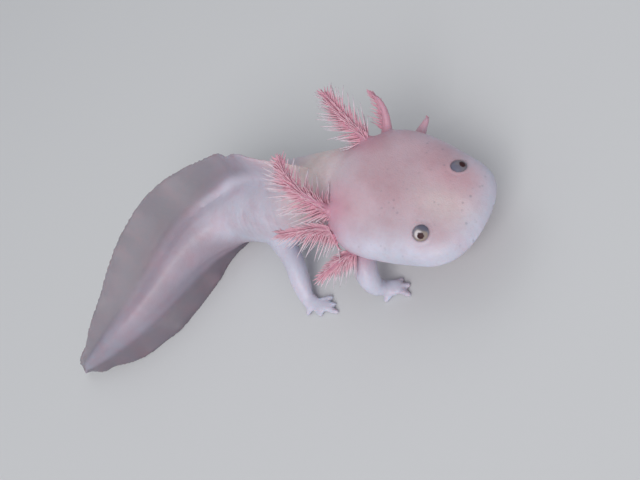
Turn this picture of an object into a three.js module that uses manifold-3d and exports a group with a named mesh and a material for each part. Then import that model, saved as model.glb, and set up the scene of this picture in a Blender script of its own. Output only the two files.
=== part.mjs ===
// A pale axolotl, standing still: a life-size model in millimetres, +Z up, floor at z = 0.
// +X is the way the trunk faces and +Y is the animal's left. The origin is under the middle
// of the whole model. The body is one form, parted by thin cuts where a person names its parts.

import * as THREE from 'three';
import { mergeVertices } from 'three/addons/utils/BufferGeometryUtils.js';
import Module from 'manifold-3d';

const wasm = await Module();
wasm.setup();

// ---------------------------------------------------------------- driving dimensions

const GAP = 0.3; // width of a thin cut between two neighbours
const FLOOR_FLAT = 0.25; // how much of the tail fin's lower edge the floor flattens
const SKIN_AROUND = 18; // points round a section of the head or the body
const LEG_AROUND = 8;

const HEAD_AT = [21.0, 10.1, 22.0]; // middle of the skull's back, before the model is centred
const HEAD_YAW = -14.2; // degrees, turned to the animal's right
const HEAD_PITCH = -13.8; // degrees, nose down
const HEAD_ROLL = -4; // degrees, the left side lower
const HEAD_BACK = -7; // places along the head's own middle line
const SNOUT_TIP = 36.1;
const SNOUT_START = 22; // where the outline begins to round towards the tip, seen from above
const SNOUT_SLOPE = 24; // and seen from the side
const MOUTH_CORNER = 15;
const HEAD_POWER = 2.3; // how full the corners of a section are: 2 is an ellipse

const SPINE_START = [21.8, 9.7, 22.0]; // inside the skull's back
const TAIL_TIP = 157; // distance along the spine from there to the tip of the tail
const MUSCLE_TIP = 153;
const TIP_LENGTH = 4; // the rounded end of the muscle
const NECK_END = 15; // where the cuts through the body are
const CHEST_END = 36;
const PELVIS_END = 66;
const TAIL_CUTS = [PELVIS_END, 94, 124];
const BODY_POWER = 2.15;
const MODEL_SHIFT = [24.55, 2.37]; // brings the middle of the model's box over the origin

const EYE_AT = [24.5, 9.95, 4.3]; // in the head's frame, for the left eye
const EYE_RADIUS = 2.5;

const FIN_START = 15; // where the back fin rises, over the shoulders
const FIN_CUTS = [PELVIS_END, 110, TAIL_TIP];
const UNDER_FIN_CUTS = [72, 112, TAIL_TIP];
const FIN_ROOT = 2.4; // thickness beside the muscle
const FIN_EDGE = 0.8;

const BEND_CUT = 0.5; // shares of a leg's length, from the shoulder or hip to the wrist or ankle
const WRIST_CUT = 0.92;
const PALM = [[0.35, 2.7, 1.5], [0.7, 2.9, 1.2], [1, 2.2, 0.9]]; // share, half width, half height
const PALM_REACH = 1.8; // how far the palm goes on past its middle
const LEG_CUT_SHARE = 0.012; // a cut's width as a share of a leg's length
const DIGIT_RADIUS = 1.05;
const DIGIT_TIP_HEIGHT = 0.42;

const STALK_TIP = 0.55; // radii of the end of a gill's stalk and of its filaments
const FILAMENT_ROOT = 0.42;
const FILAMENT_TIP = 0.27;
const FILAMENT_SPAN = [0.22, 0.97]; // the share of a stalk that carries filaments

// ---------------------------------------------------------------- curves and lofts

const { PI, cos, sin, abs, sign, sqrt, min, max, hypot } = Math;
const rad = THREE.MathUtils.degToRad;

// A smooth curve through [place, value] knots: cubic pieces with each knot's slope taken
// from its two neighbours.
function curveThrough(knots) {
  const slope = (i) => {
    const a = knots[max(i - 1, 0)];
    const b = knots[min(i + 1, knots.length - 1)];
    return (b[1] - a[1]) / (b[0] - a[0]);
  };
  return (x) => {
    let i = 0;
    while (i < knots.length - 2 && x > knots[i + 1][0]) i += 1;
    const [x0, y0] = knots[i];
    const [x1, y1] = knots[i + 1];
    const h = x1 - x0;
    const t = min(max((x - x0) / h, 0), 1);
    return (2 * t ** 3 - 3 * t ** 2 + 1) * y0 + (t ** 3 - 2 * t ** 2 + t) * h * slope(i)
      + (3 * t ** 2 - 2 * t ** 3) * y1 + (t ** 3 - t ** 2) * h * slope(i + 1);
  };
}

const steps = (from, to, count) => (
  Array.from({ length: count + 1 }, (_, i) => from + ((to - from) * i) / count)
);

// Places from one end to the other that crowd towards the far end, for a rounded tip.
const crowding = (from, to, count) => steps(0, 1, count).map((t) => from + (to - from) * sin((t * PI) / 2));

// A closed solid through rings of points that all have the same count. Its ends are flat.
function loft(rings) {
  const around = rings[0].length;
  const points = rings.flat();
  const faces = [];
  const at = (ring, k) => ring * around + (k % around);
  for (let ring = 0; ring < rings.length - 1; ring += 1) {
    for (let k = 0; k < around; k += 1) {
      faces.push(at(ring, k), at(ring, k + 1), at(ring + 1, k + 1));
      faces.push(at(ring, k), at(ring + 1, k + 1), at(ring + 1, k));
    }
  }
  for (let k = 1; k < around - 1; k += 1) {
    faces.push(at(0, 0), at(0, k + 1), at(0, k));
    faces.push(at(rings.length - 1, 0), at(rings.length - 1, k), at(rings.length - 1, k + 1));
  }
  const geometry = new THREE.BufferGeometry().setFromPoints(points);
  geometry.setIndex(faces);
  return geometry;
}

// A section: 'side' and 'up' halves of a rounded box, whose corners fill out as 'power' grows.
function section(frame, side, up, down, power, around) {
  return steps(0, 2 * PI, around).slice(0, -1).map((angle) => {
    const c = cos(angle);
    const s = sin(angle);
    const across = side * sign(c) * abs(c) ** (2 / power);
    const along = (s > 0 ? up : down) * sign(s) * abs(s) ** (2 / power);
    return frame.point.clone().addScaledVector(frame.left, across).addScaledVector(frame.up, along);
  });
}

// ---------------------------------------------------------------- solids

function solidOf(geometry) {
  const bare = geometry.clone();
  bare.deleteAttribute('normal');
  bare.deleteAttribute('uv');
  const merged = mergeVertices(bare, 1e-4);
  const solid = new wasm.Manifold(new wasm.Mesh({
    numProp: 3,
    vertProperties: new Float32Array(merged.attributes.position.array),
    triVerts: new Uint32Array(merged.index.array),
  }));
  return solid.volume() < 0 ? turnedOut(merged) : solid;
}

// The same solid with every face turned over, for a loft that was laid from its far end.
function turnedOut(merged) {
  const faces = new Uint32Array(merged.index.array);
  for (let i = 0; i < faces.length; i += 3) [faces[i], faces[i + 1]] = [faces[i + 1], faces[i]];
  return new wasm.Manifold(new wasm.Mesh({
    numProp: 3,
    vertProperties: new Float32Array(merged.attributes.position.array),
    triVerts: faces,
  }));
}

function geometryOf(solid) {
  const mesh = solid.getMesh();
  const geometry = new THREE.BufferGeometry();
  geometry.setAttribute('position', new THREE.BufferAttribute(mesh.vertProperties, 3));
  geometry.setIndex(new THREE.BufferAttribute(mesh.triVerts, 1));
  return geometry;
}

const loftSolid = (rings) => solidOf(loft(rings));
const joined = (solids) => solids.reduce((whole, next) => whole.add(next));

function block(low, high) {
  const size = high.map((value, axis) => value - low[axis]);
  const box = new THREE.BoxGeometry(...size);
  box.translate(...low.map((value, axis) => value + size[axis] / 2));
  return solidOf(box);
}

const UNDER_FLOOR = block([-200, -200, -60], [200, 200, 0]);
const onFloor = (solid) => solid.subtract(UNDER_FLOOR);

const ball = (centre, radius, around = 16) => solidOf(
  new THREE.SphereGeometry(radius, around, around / 2).rotateX(PI / 2).translate(...centre.toArray()),
);

// ---------------------------------------------------------------- the head

const headTurn = new THREE.Matrix4()
  .makeRotationZ(rad(HEAD_YAW))
  .multiply(new THREE.Matrix4().makeRotationY(rad(-HEAD_PITCH)))
  .multiply(new THREE.Matrix4().makeRotationX(rad(HEAD_ROLL)))
  .setPosition(...HEAD_AT);
const inHead = (x, y, z) => new THREE.Vector3(x, y, z).applyMatrix4(headTurn);

// Half width, height above and depth below the head's middle line, from the neck to the snout.
const headWidth = curveThrough([
  [-7, 11.0], [-3, 15.4], [2, 18.7], [8, 19.4], [14, 18.7], [20, 17.6], [26, 16.2], [36.1, 14.4],
]);
const headTop = curveThrough([
  [-7, 8.0], [-3, 8.9], [2, 9.1], [8, 8.8], [14, 8.2], [20, 7.5], [26, 6.4], [31, 5.4], [36.1, 4.5],
]);
const headBottom = curveThrough([
  [-7, 8.6], [-3, 8.4], [2, 8.0], [8, 7.7], [14, 7.2], [20, 6.5], [26, 5.6], [31, 4.8], [36.1, 4.0],
]);
const SNOUT_POWER = 4.0; // how blunt the snout is
const snoutRounding = (x, start) => (
  sqrt(max(1 - max((x - start) / (SNOUT_TIP - start), 0) ** SNOUT_POWER, 1e-4))
);

function headFrame(x) {
  const origin = inHead(0, 0, 0);
  return {
    point: inHead(x, 0, 0),
    left: inHead(0, 1, 0).sub(origin),
    up: inHead(0, 0, 1).sub(origin),
  };
}

function headRing(x, grow = 0) {
  const side = headWidth(x) * snoutRounding(x, SNOUT_START) + grow;
  const up = headTop(x) * snoutRounding(x, SNOUT_SLOPE) + grow;
  const down = headBottom(x) * snoutRounding(x, SNOUT_SLOPE) + grow;
  return section(headFrame(x), side, up, down, HEAD_POWER, SKIN_AROUND);
}

const headPlaces = [
  ...steps(HEAD_BACK, SNOUT_START, 8),
  ...crowding(SNOUT_START, SNOUT_TIP, 6).slice(1),
];
const headSolid = (grow = 0) => loftSolid(headPlaces.map((x) => headRing(x, grow)));

// The space of the lower jaw: everything under the mouth line and ahead of the jaw's hinge.
const mouthLine = curveThrough([[MOUTH_CORNER, -1.2], [20, -2.4], [27, -2.0], [33, -1.3], [42, -1.1]]);

function jawSpace(grow) {
  const outline = new THREE.Shape();
  outline.moveTo(MOUTH_CORNER - 5 - grow, -20);
  outline.lineTo(MOUTH_CORNER - grow, mouthLine(MOUTH_CORNER) + grow);
  for (const x of steps(MOUTH_CORNER + 3, 42, 9)) outline.lineTo(x, mouthLine(x) + grow);
  outline.lineTo(42, -20);
  const space = new THREE.ExtrudeGeometry(outline, { depth: 60, bevelEnabled: false });
  space.rotateX(PI / 2).translate(0, 30, 0).applyMatrix4(headTurn);
  return solidOf(space);
}

// ---------------------------------------------------------------- the spine and the body

const spineHeading = curveThrough([
  [0, -13], [10, -5], [22, -3], [36, -8], [53, -4], [66, 19], [78, 48], [90, 62], [104, 61], [118, 46.5],
  [132, 32.5], [146, 23.5], [157, 20],
]);
const tailLean = curveThrough([[26, 0], [44, 9], [62, 20], [84, 27], [100, 30], [122, 28], [157, 16]]);

const bodyWidth = curveThrough([
  [0, 12], [7, 11.0], [14, 11.3], [24, 12.3], [38, 13.5], [50, 13.3], [60, 12.0], [70, 9.8], [83, 7.4],
  [95, 5.5], [106, 4.3], [118, 3.2], [130, 2.4], [142, 1.8], [153, 1.2],
]);
const bodyTop = curveThrough([
  [0, 9], [7, 9.0], [14, 9.6], [24, 10.0], [38, 10.8], [50, 10.7], [60, 9.6], [70, 8.1], [83, 6.3],
  [95, 4.4], [106, 3.1], [118, 2.3], [130, 1.8], [142, 1.4], [153, 1.0],
]);
const bodyBottom = curveThrough([
  [0, 9], [7, 8.8], [14, 9.6], [24, 10.6], [38, 11.3], [50, 11.3], [60, 10.8], [70, 9.9], [83, 9.1],
  [95, 8.0], [106, 6.8], [118, 5.3], [130, 4.1], [142, 2.5], [153, 1.2],
]);

// How far the two fins reach beyond the muscle, along the tail's own leaning upright.
const dorsalFin = curveThrough([
  [13, 0.6], [18, 4.6], [24, 9.0], [30, 11.6], [38, 11.9], [50, 11.1], [58, 12.4], [66, 13.6], [74, 14.6],
  [84, 15.8], [95, 16.0], [106, 14.9], [118, 12.0], [130, 8.1], [142, 4.5], [151, 2.6], [157, 0.6],
]);
const ventralFin = curveThrough([
  [67, 0.4], [74, 3.2], [83, 6.0], [95, 8.4], [106, 9.3], [118, 9.4], [130, 8.3], [142, 6.0], [151, 3.6],
  [157, 0.6],
]);

// Height of the spine: the trunk slopes down from the raised head to the pelvis, which rests
// on the floor, and the tail stands on the edge of its lower fin.
const trunkHeight = curveThrough([
  [0, 22], [8, 21.8], [18, 20.0], [32, 16.4], [44, 13.0], [54, 10.9], [64, 10.1], [74, 11.0], [84, 12.6],
]);
const standingHeight = (s) => (
  (bodyBottom(min(s, MUSCLE_TIP)) + ventralFin(s)) * cos(rad(tailLean(s))) - FLOOR_FLAT
);
const TAIL_STANDS = [68, 88]; // where the spine's height passes from the trunk's to the tail's

function spineHeight(s) {
  const t = THREE.MathUtils.smoothstep(s, ...TAIL_STANDS);
  return trunkHeight(s) * (1 - t) + standingHeight(s) * t;
}

// The spine is laid out backwards from the skull in short straight steps.
const SPINE_STEP = 0.5;
const spine = [new THREE.Vector3(...SPINE_START)];
for (let s = 0; s < TAIL_TIP + 2; s += SPINE_STEP) {
  const rise = spineHeight(s + SPINE_STEP) - spineHeight(s);
  const run = sqrt(SPINE_STEP ** 2 - rise ** 2);
  const heading = rad(spineHeading(s + SPINE_STEP / 2));
  const here = spine.at(-1);
  const next = [here.x - run * cos(heading), here.y - run * sin(heading), spineHeight(s + SPINE_STEP)];
  spine.push(new THREE.Vector3(...next));
}

function bodyFrame(s) {
  const place = s / SPINE_STEP;
  const i = min(Math.floor(place), spine.length - 2);
  const point = spine[i].clone().lerp(spine[i + 1], place - i);
  const forward = spine[max(i - 1, 0)].clone().sub(spine[min(i + 2, spine.length - 1)]).normalize();
  const level = new THREE.Vector3(-sin(rad(spineHeading(s))), cos(rad(spineHeading(s))), 0);
  const upright = forward.clone().cross(level).normalize();
  const lean = rad(tailLean(s));
  return {
    point,
    forward,
    left: level.clone().multiplyScalar(cos(lean)).addScaledVector(upright, -sin(lean)),
    up: upright.clone().multiplyScalar(cos(lean)).addScaledVector(level, sin(lean)),
  };
}

// A ring round the body at a place on the spine, made smaller by 'size' and swollen by 'grow'.
function bodyRing(s, grow = 0, size = 1) {
  const [side, up, down] = [bodyWidth, bodyTop, bodyBottom].map((curve) => curve(s) * size + grow);
  return section(bodyFrame(s), side, up, down, BODY_POWER, SKIN_AROUND);
}

const bodyLength = (from, to, count) => onFloor(loftSolid(
  steps(from + GAP / 2, to - GAP / 2, count).map((s) => bodyRing(s)),
));

const NECK_BLEND = 11.5; // from here forward the neck runs straight into the head's first ring

function neckSolid(grow = 0) {
  const rings = steps(NECK_END - GAP / 2, NECK_BLEND, 3).map((s) => bodyRing(s, grow));
  rings.push(headRing(HEAD_BACK - GAP, grow));
  return loftSolid(rings.reverse());
}

function tailTipSolid() {
  const roundingStart = MUSCLE_TIP - TIP_LENGTH;
  const rings = steps(TAIL_CUTS[2] + GAP / 2, roundingStart, 5).map((s) => bodyRing(s));
  for (const t of [0.5, 0.85, 0.98]) {
    rings.push(bodyRing(roundingStart + TIP_LENGTH * t, 0, sqrt(1 - t ** 2)));
  }
  return loftSolid(rings);
}

// All the flesh that a fin or a leg is set against, swollen by the width of a cut.
const swollenBody = loftSolid(steps(4, MUSCLE_TIP, 36).map((s) => bodyRing(s, GAP)));
const swollenHead = headSolid(GAP);
const swollenNeck = neckSolid(GAP);

// ---------------------------------------------------------------- the fins

// One length of a fin: a thin wedge that stands a cut's width off the muscle and ends in a
// rounded edge. Past the muscle's tip it starts beside the spine's own line.
function finLength(from, to, count, reach, muscle, direction) {
  const rings = steps(from + GAP / 2, to - GAP / 2, count).map((s) => {
    const frame = bodyFrame(s);
    const fading = min(1, max(0, (MUSCLE_TIP + 1 - s) / 4));
    const foot = muscle(min(s, MUSCLE_TIP)) * sqrt(fading) + GAP;
    const edge = max(foot + 0.6, muscle(min(s, MUSCLE_TIP)) * fading + reach(s));
    const root = min(FIN_ROOT, 0.9 + (edge - foot) * 0.25);
    const heights = [foot, foot + (edge - foot) * 0.4, edge - 0.3];
    const halves = [root / 2, (root + FIN_EDGE) / 4, FIN_EDGE / 2];
    const point = (across, along) => frame.point.clone()
      .addScaledVector(frame.left, across).addScaledVector(frame.up, along * direction);
    return [
      ...heights.map((height, i) => point(halves[i], height)),
      point(0, edge),
      ...heights.map((height, i) => point(-halves[i], height)).reverse(),
    ];
  });
  return onFloor(loftSolid(rings));
}

// ---------------------------------------------------------------- legs

// A fleshy tube through the given points, with a round or flattened section at each of them.
function limb(points, sizes) {
  const path = new THREE.CatmullRomCurve3(points, false, 'centripetal');
  return (from, to, count = 6) => steps(from, to, count).map((t) => {
    const forward = path.getTangent(t);
    const left = new THREE.Vector3(0, 0, 1).cross(forward).normalize();
    const up = forward.clone().cross(left);
    const width = curveThrough(sizes.map(([place, side]) => [place, side]))(t);
    const height = curveThrough(sizes.map(([place, , tall]) => [place, tall]))(t);
    return section({ point: path.getPoint(t), left, up }, width, height, height, 2, LEG_AROUND);
  });
}

// A finger or toe: a thin tapered tube from the palm, lying on the floor, with a rounded tip.
function digit(from, to, thick) {
  const hump = from.clone().lerp(to, 0.45);
  hump.z = max(from.z, to.z) * 0.9 + 0.25;
  const path = new THREE.QuadraticBezierCurve3(from, hump, to);
  const rings = [0, 0.4, 0.9, 1].map((t) => {
    const forward = path.getTangent(t);
    const left = new THREE.Vector3(0, 0, 1).cross(forward).normalize();
    const radius = thick * (1 - 0.25 * t) * (t === 1 ? 0.6 : 1);
    const frame = { point: path.getPoint(t), left, up: forward.clone().cross(left) };
    return section(frame, radius, radius, radius, 2, 5);
  });
  return loftSolid(rings);
}

const ARM = [[0, 3.8, 3.9], [0.25, 3.6, 3.7], [0.5, 3.2, 3.2], [0.75, 2.8, 2.6], [1, 2.4, 1.6]];
const HIND = [[0, 4.2, 4.2], [0.25, 3.8, 3.9], [0.5, 3.2, 3.3], [0.75, 3.0, 2.9], [1, 2.4, 1.6]];

const LEGS = {
  front_right: {
    names: ['upper_arm', 'forearm', 'hand'],
    points: [[11.5, 3, 17], [17.6, -4.5, 13.2], [19.6, -10.9, 9], [19.7, -11.6, 5.2], [21, -10.7, 2.3]],
    sizes: ARM,
    palm: [23.4, -10.1, 1.15],
    digits: [[20.6, -14.4], [28.7, -12.3], [27.7, -8.9], [24.6, -6.9]],
  },
  front_left: {
    names: ['upper_arm', 'forearm', 'hand'],
    points: [[9.5, 18, 16.5], [6.4, 25, 12.4], [2.6, 28.8, 8.4], [1.6, 28.4, 5.0], [2.6, 27.6, 2.3]],
    sizes: ARM,
    palm: [4.8, 26.8, 1.15],
    digits: [[4.6, 31.0], [8.8, 29.4], [10.2, 26.4], [8.6, 23.4]],
  },
  hind_right: {
    names: ['thigh', 'shank', 'foot'],
    points: [[-24, 6, 10], [-17, 1.0, 10], [-11.1, -5.2, 8.4], [-8.7, -10.5, 5.2], [-7.3, -14.1, 2.4]],
    sizes: HIND,
    palm: [-5.3, -15.6, 1.15],
    digits: [[-6.3, -19.0], [-0.6, -19.0], [5.2, -17.8], [3.5, -15.3], [1.4, -12.8]],
  },
  hind_left: {
    names: ['thigh', 'shank', 'foot'],
    points: [[-30, 19.5, 8.8], [-35, 26.4, 8.8], [-39.6, 31.4, 7.8], [-42.2, 32.2, 5], [-43.2, 33, 2.4]],
    sizes: HIND,
    palm: [-44.0, 35.2, 1.15],
    digits: [[-48.4, 34.6], [-48.6, 37.6], [-46.2, 40.2], [-42.6, 40.0], [-40.2, 37.0]],
  },
};

// The palm carries on from the wrist's own section, and the digits spread from inside it.
function palmAndDigits(leg, wristRings) {
  const wrist = new THREE.Vector3(...leg.points.at(-1));
  const palm = new THREE.Vector3(...leg.palm);
  const tips = leg.digits.map(([x, y]) => new THREE.Vector3(x, y, DIGIT_TIP_HEIGHT));
  const spread = tips.reduce((sum, tip) => sum.add(tip), new THREE.Vector3()).divideScalar(tips.length);
  const forward = spread.clone().sub(wrist).setZ(0).normalize();
  const left = new THREE.Vector3(-forward.y, forward.x, 0);
  const up = new THREE.Vector3(0, 0, 1);
  const end = palm.clone().addScaledVector(forward, PALM_REACH);
  const palmRings = PALM.map(([t, side, tall]) => (
    section({ point: wrist.clone().lerp(end, t), left, up }, side, tall, tall, 2.2, LEG_AROUND)
  ));
  const plate = loftSolid([...wristRings, ...palmRings]);
  return joined([plate, ...tips.map((tip) => digit(palm.clone().lerp(tip, 0.1), tip, DIGIT_RADIUS))]);
}

// ---------------------------------------------------------------- gills

// Each gill is a fleshy stalk with two rows of fine filaments. Places are in the head's frame,
// and 'rows' says on which sides of the stalk the filaments stand.
const GILLS = {
  upper_right: {
    path: [
      [-0.5, -10, 4], [-2.1, -12.6, 5.4], [-5.1, -12.9, 8.9], [-8.7, -13.3, 13.4], [-11.9, -12, 16.8],
      [-14.8, -9.3, 19.1],
    ],
    count: 8, long: 9.5, last: 5, rows: [-1, 1], root: 1.7,
  },
  middle_right: {
    path: [[1.6, -13.3, 1.3], [0, -15.2, 1.4], [-4.1, -17.3, 3.1], [-8.7, -20.2, 3.9], [-13.1, -22.6, 3.8]],
    count: 7, long: 7.5, last: 2.5, rows: [-1, 1], root: 1.7,
  },
  lower_right: {
    path: [[4.8, -15.5, -3.8], [3.7, -17.9, -4.2], [0.6, -21.4, -5.7], [-2.4, -25.8, -7.5]],
    count: 6, long: 6, last: 2, rows: [-1, 1], root: 2.0,
  },
  upper_left: {
    path: [[-2.3, 9, 5.2], [-3.7, 10.3, 6.4], [-9, 12, 9.8], [-13.9, 14.1, 12.3], [-18.4, 16.3, 14]],
    count: 8, long: 9.5, last: 5, rows: [-1, 1], root: 1.9,
  },
  middle_left: {
    path: [[-0.4, 13.6, 2.6], [-2, 16.9, 3.7], [-3.3, 19.8, 6.5], [-5.1, 21.6, 8.6], [-7.9, 22.8, 10.2]],
    count: 8, long: 6, last: 1.5, rows: [1], root: 2.2,
  },
  lower_left: {
    path: [[4.5, 16.1, -2.3], [5, 20.5, -1.5], [5.5, 22.9, -0.3], [5.9, 25.2, 0.8]],
    count: 5, long: 3, last: 1, rows: [1], root: 2.8,
  },
};

// A tapered stalk: its radius falls from the root's by a power of the way along.
function stalk(path, root) {
  return loftSolid([0, 0.25, 0.5, 0.75, 1].map((t) => {
    const forward = path.getTangent(t);
    const left = new THREE.Vector3(0, 0, 1).cross(forward).normalize();
    const side = root + (STALK_TIP - root) * t ** 0.8;
    const tall = side * 0.8;
    const frame = { point: path.getPoint(t), left, up: forward.clone().cross(left) };
    return section(frame, side, tall, tall, 2, 7);
  }));
}

function filament(path, t, side, long) {
  const root = path.getPoint(t);
  const forward = path.getTangent(t);
  const across = new THREE.Vector3(0, 0, 1).cross(forward).normalize().multiplyScalar(side);
  const reach = long * (0.55 + 0.45 * sin(PI * (0.15 + 0.75 * t)));
  const aim = across.clone().addScaledVector(forward, 0.55 + 0.5 * t).setZ(across.z - 0.25).normalize();
  const bend = root.clone().addScaledVector(aim, reach * 0.55);
  const tip = root.clone().addScaledVector(aim, reach).addScaledVector(forward, reach * 0.15);
  tip.z -= reach * 0.12;
  return blade([[root, 1.2], [bend, 0.8], [tip, 0]], aim);
}

// A three-sided filament through points that each say how thick it is there.
function blade(points, aim) {
  return loftSolid(points.map(([point, fat]) => {
    const radius = FILAMENT_TIP + (FILAMENT_ROOT - FILAMENT_TIP) * fat;
    const left = new THREE.Vector3(0, 0, 1).cross(aim).normalize();
    return section({ point, left, up: aim.clone().cross(left) }, radius, radius, radius, 2, 3);
  }));
}

// The last filament carries on the way the stalk was going, and a little upwards.
function lastFilament(path, long) {
  const aim = path.getTangent(1);
  aim.setZ(aim.z + 0.3).normalize();
  const root = path.getPoint(0.96);
  return blade([[root, 1.2], [root.clone().addScaledVector(aim, long), 0]], aim);
}

// A gill's stalk with each filament that keeps clear of everything already there.
function gillSolid({ path, bareStalk, count, long, last, rows }, taken) {
  let gill = bareStalk.add(lastFilament(path, last));
  for (const side of rows) {
    for (const t of steps(...FILAMENT_SPAN, count - 1)) {
      const lengths = [1, 0.8, 0.6, 0.45].map((part) => filament(path, t, side, long * part));
      const clear = lengths.find((blade) => blade.intersect(taken).isEmpty());
      if (clear) gill = gill.add(clear);
    }
  }
  return gill;
}

// ---------------------------------------------------------------- the model

const MATERIALS = {
  skin: new THREE.MeshStandardMaterial({ color: '#ecd9d6', roughness: 0.45, metalness: 0 }),
  fin: new THREE.MeshStandardMaterial({ color: '#d9c8cf', roughness: 0.4, metalness: 0 }),
  gill: new THREE.MeshStandardMaterial({ color: '#d98a9c', roughness: 0.5, metalness: 0 }),
  eye: new THREE.MeshStandardMaterial({ color: '#3a3f4a', roughness: 0.1, metalness: 0 }),
};

const model = new THREE.Group();
model.position.set(MODEL_SHIFT[0], MODEL_SHIFT[1], 0);

function put(name, solid, material) {
  const mesh = new THREE.Mesh(geometryOf(solid), material);
  mesh.name = name;
  model.add(mesh);
}

const eyePlaces = { left: inHead(...EYE_AT), right: inHead(EYE_AT[0], -EYE_AT[1], EYE_AT[2]) };
const sockets = joined(Object.values(eyePlaces).map((place) => ball(place, EYE_RADIUS + GAP)));
const wholeHead = headSolid().subtract(sockets);
put('head', wholeHead.subtract(jawSpace(GAP)), MATERIALS.skin);
put('jaw', wholeHead.intersect(jawSpace(0)), MATERIALS.skin);
for (const [side, place] of Object.entries(eyePlaces)) {
  put(`eye_${side}`, ball(place, EYE_RADIUS, 12), MATERIALS.eye);
}

put('neck', neckSolid(), MATERIALS.skin);
put('trunk_front', bodyLength(NECK_END, CHEST_END, 7), MATERIALS.skin);
put('trunk_rear', bodyLength(CHEST_END, PELVIS_END, 9), MATERIALS.skin);
put('tail_base', bodyLength(TAIL_CUTS[0], TAIL_CUTS[1], 7), MATERIALS.skin);
put('tail_middle', bodyLength(TAIL_CUTS[1], TAIL_CUTS[2], 8), MATERIALS.skin);
put('tail_tip', tailTipSolid(), MATERIALS.skin);

const backFin = (from, to) => finLength(from, to, 9, dorsalFin, bodyTop, 1);
const underFin = (from, to) => finLength(from, to, 8, ventralFin, bodyBottom, -1);
const shoulderFin = backFin(FIN_START, FIN_CUTS[0]);
put('fin_back', shoulderFin, MATERIALS.fin);
put('fin_tail_front', backFin(FIN_CUTS[0], FIN_CUTS[1]), MATERIALS.fin);
put('fin_tail_rear', backFin(FIN_CUTS[1], FIN_CUTS[2]), MATERIALS.fin);
put('fin_under_front', underFin(UNDER_FIN_CUTS[0], UNDER_FIN_CUTS[1]), MATERIALS.fin);
put('fin_under_rear', underFin(UNDER_FIN_CUTS[1], UNDER_FIN_CUTS[2]), MATERIALS.fin);

const flesh = [swollenBody, swollenHead, swollenNeck, shoulderFin];
for (const [place, leg] of Object.entries(LEGS)) {
  const points = leg.points.map((point) => new THREE.Vector3(...point));
  const rings = limb(points, leg.sizes);
  const edge = LEG_CUT_SHARE / 2;
  const upper = loftSolid(rings(0, BEND_CUT - edge)).subtract(swollenBody).subtract(swollenHead);
  const pieces = [
    upper,
    loftSolid(rings(BEND_CUT + edge, WRIST_CUT)).subtract(upper).subtract(swollenBody),
    palmAndDigits(leg, rings(WRIST_CUT + edge * 2, 1, 1)),
  ];
  leg.names.forEach((name, i) => put(`${name}_${place.split('_')[1]}`, onFloor(pieces[i]), MATERIALS.skin));
  flesh.push(...pieces);
}

const stalks = Object.entries(GILLS).map(([place, gill]) => {
  const path = new THREE.CatmullRomCurve3(gill.path.map((point) => inHead(...point)));
  const bareStalk = stalk(path, gill.root).subtract(swollenHead).subtract(swollenNeck);
  return { ...gill, place, path, bareStalk };
});
stalks.forEach((gill, i) => {
  const others = stalks.filter((_, j) => j !== i).map((other) => other.finished ?? other.bareStalk);
  gill.finished = gillSolid(gill, joined([...flesh, ...others]));
  put(`gill_${gill.place}`, gill.finished, MATERIALS.gill);
});

export default model;
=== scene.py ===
"""The looks of a still, life-size model of a pale axolotl.

The animal is one seamless skin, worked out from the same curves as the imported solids: closed
forms for the head, body, fins, legs and gill stalks are fused, filleted where they meet, and
then given their folds, grooves, nostrils and eye rims. Lengths are in millimetres until a mesh
is finished, and places along the spine are counted backwards from the skull.
"""

from __future__ import annotations

import logging
import math
from collections.abc import Callable, Sequence
from dataclasses import dataclass, field
from enum import Enum

import bpy
import numpy as np
from mathutils import Matrix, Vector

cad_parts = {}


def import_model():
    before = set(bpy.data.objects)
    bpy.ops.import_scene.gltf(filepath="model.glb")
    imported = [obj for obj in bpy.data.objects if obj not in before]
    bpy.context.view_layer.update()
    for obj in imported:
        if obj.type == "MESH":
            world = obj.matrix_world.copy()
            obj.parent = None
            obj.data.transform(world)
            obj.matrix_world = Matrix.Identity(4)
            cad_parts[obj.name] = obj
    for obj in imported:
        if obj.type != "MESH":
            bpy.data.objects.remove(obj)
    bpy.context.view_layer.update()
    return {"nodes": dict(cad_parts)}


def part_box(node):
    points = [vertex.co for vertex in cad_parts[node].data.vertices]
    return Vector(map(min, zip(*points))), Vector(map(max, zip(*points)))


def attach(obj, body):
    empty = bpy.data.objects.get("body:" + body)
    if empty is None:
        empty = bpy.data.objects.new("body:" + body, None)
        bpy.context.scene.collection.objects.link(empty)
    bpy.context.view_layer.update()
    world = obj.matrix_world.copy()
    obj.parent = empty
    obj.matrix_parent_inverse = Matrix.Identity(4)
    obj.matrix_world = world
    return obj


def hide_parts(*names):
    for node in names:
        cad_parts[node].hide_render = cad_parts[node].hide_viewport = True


log = logging.getLogger("axolotl")

Array = np.ndarray
Knots = tuple[tuple[float, float], ...]
Point = tuple[float, float, float]

MM = 0.001
SEED = 41
BODY = "root"
SHIFT = np.array((24.55, 2.37, 0.0))  # brings the middle of the model's box over the origin
UP = (0.0, 0.0, 1.0)
FLOOR_GAP = 0.3  # the least height of a filament's middle line
OUTWARD = 1.04  # how long an evening's outward step is beside its inward one


# ------------------------------------------------------------------ plain mathematics

def unit(vectors: Array) -> Array:
    """Scales each vector to length one."""
    return vectors / np.linalg.norm(vectors, axis=-1, keepdims=True)


def ease(x: Array, low: float, high: float) -> Array:
    """Rises smoothly from 0 at low to 1 at high: 3t squared minus 2t cubed."""
    t = np.clip((np.asarray(x, float) - low) / (high - low), 0, 1)
    return t * t * (3 - 2 * t)


def bell(x: Array, width: float) -> Array:
    """A bell curve: e to the minus (x over width) squared."""
    return np.exp(-((np.asarray(x, float) / width) ** 2))


def distance(points: Array, place: Array | Point) -> Array:
    """How far each point is from a place."""
    return np.linalg.norm(points - np.asarray(place), axis=1)


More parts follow.
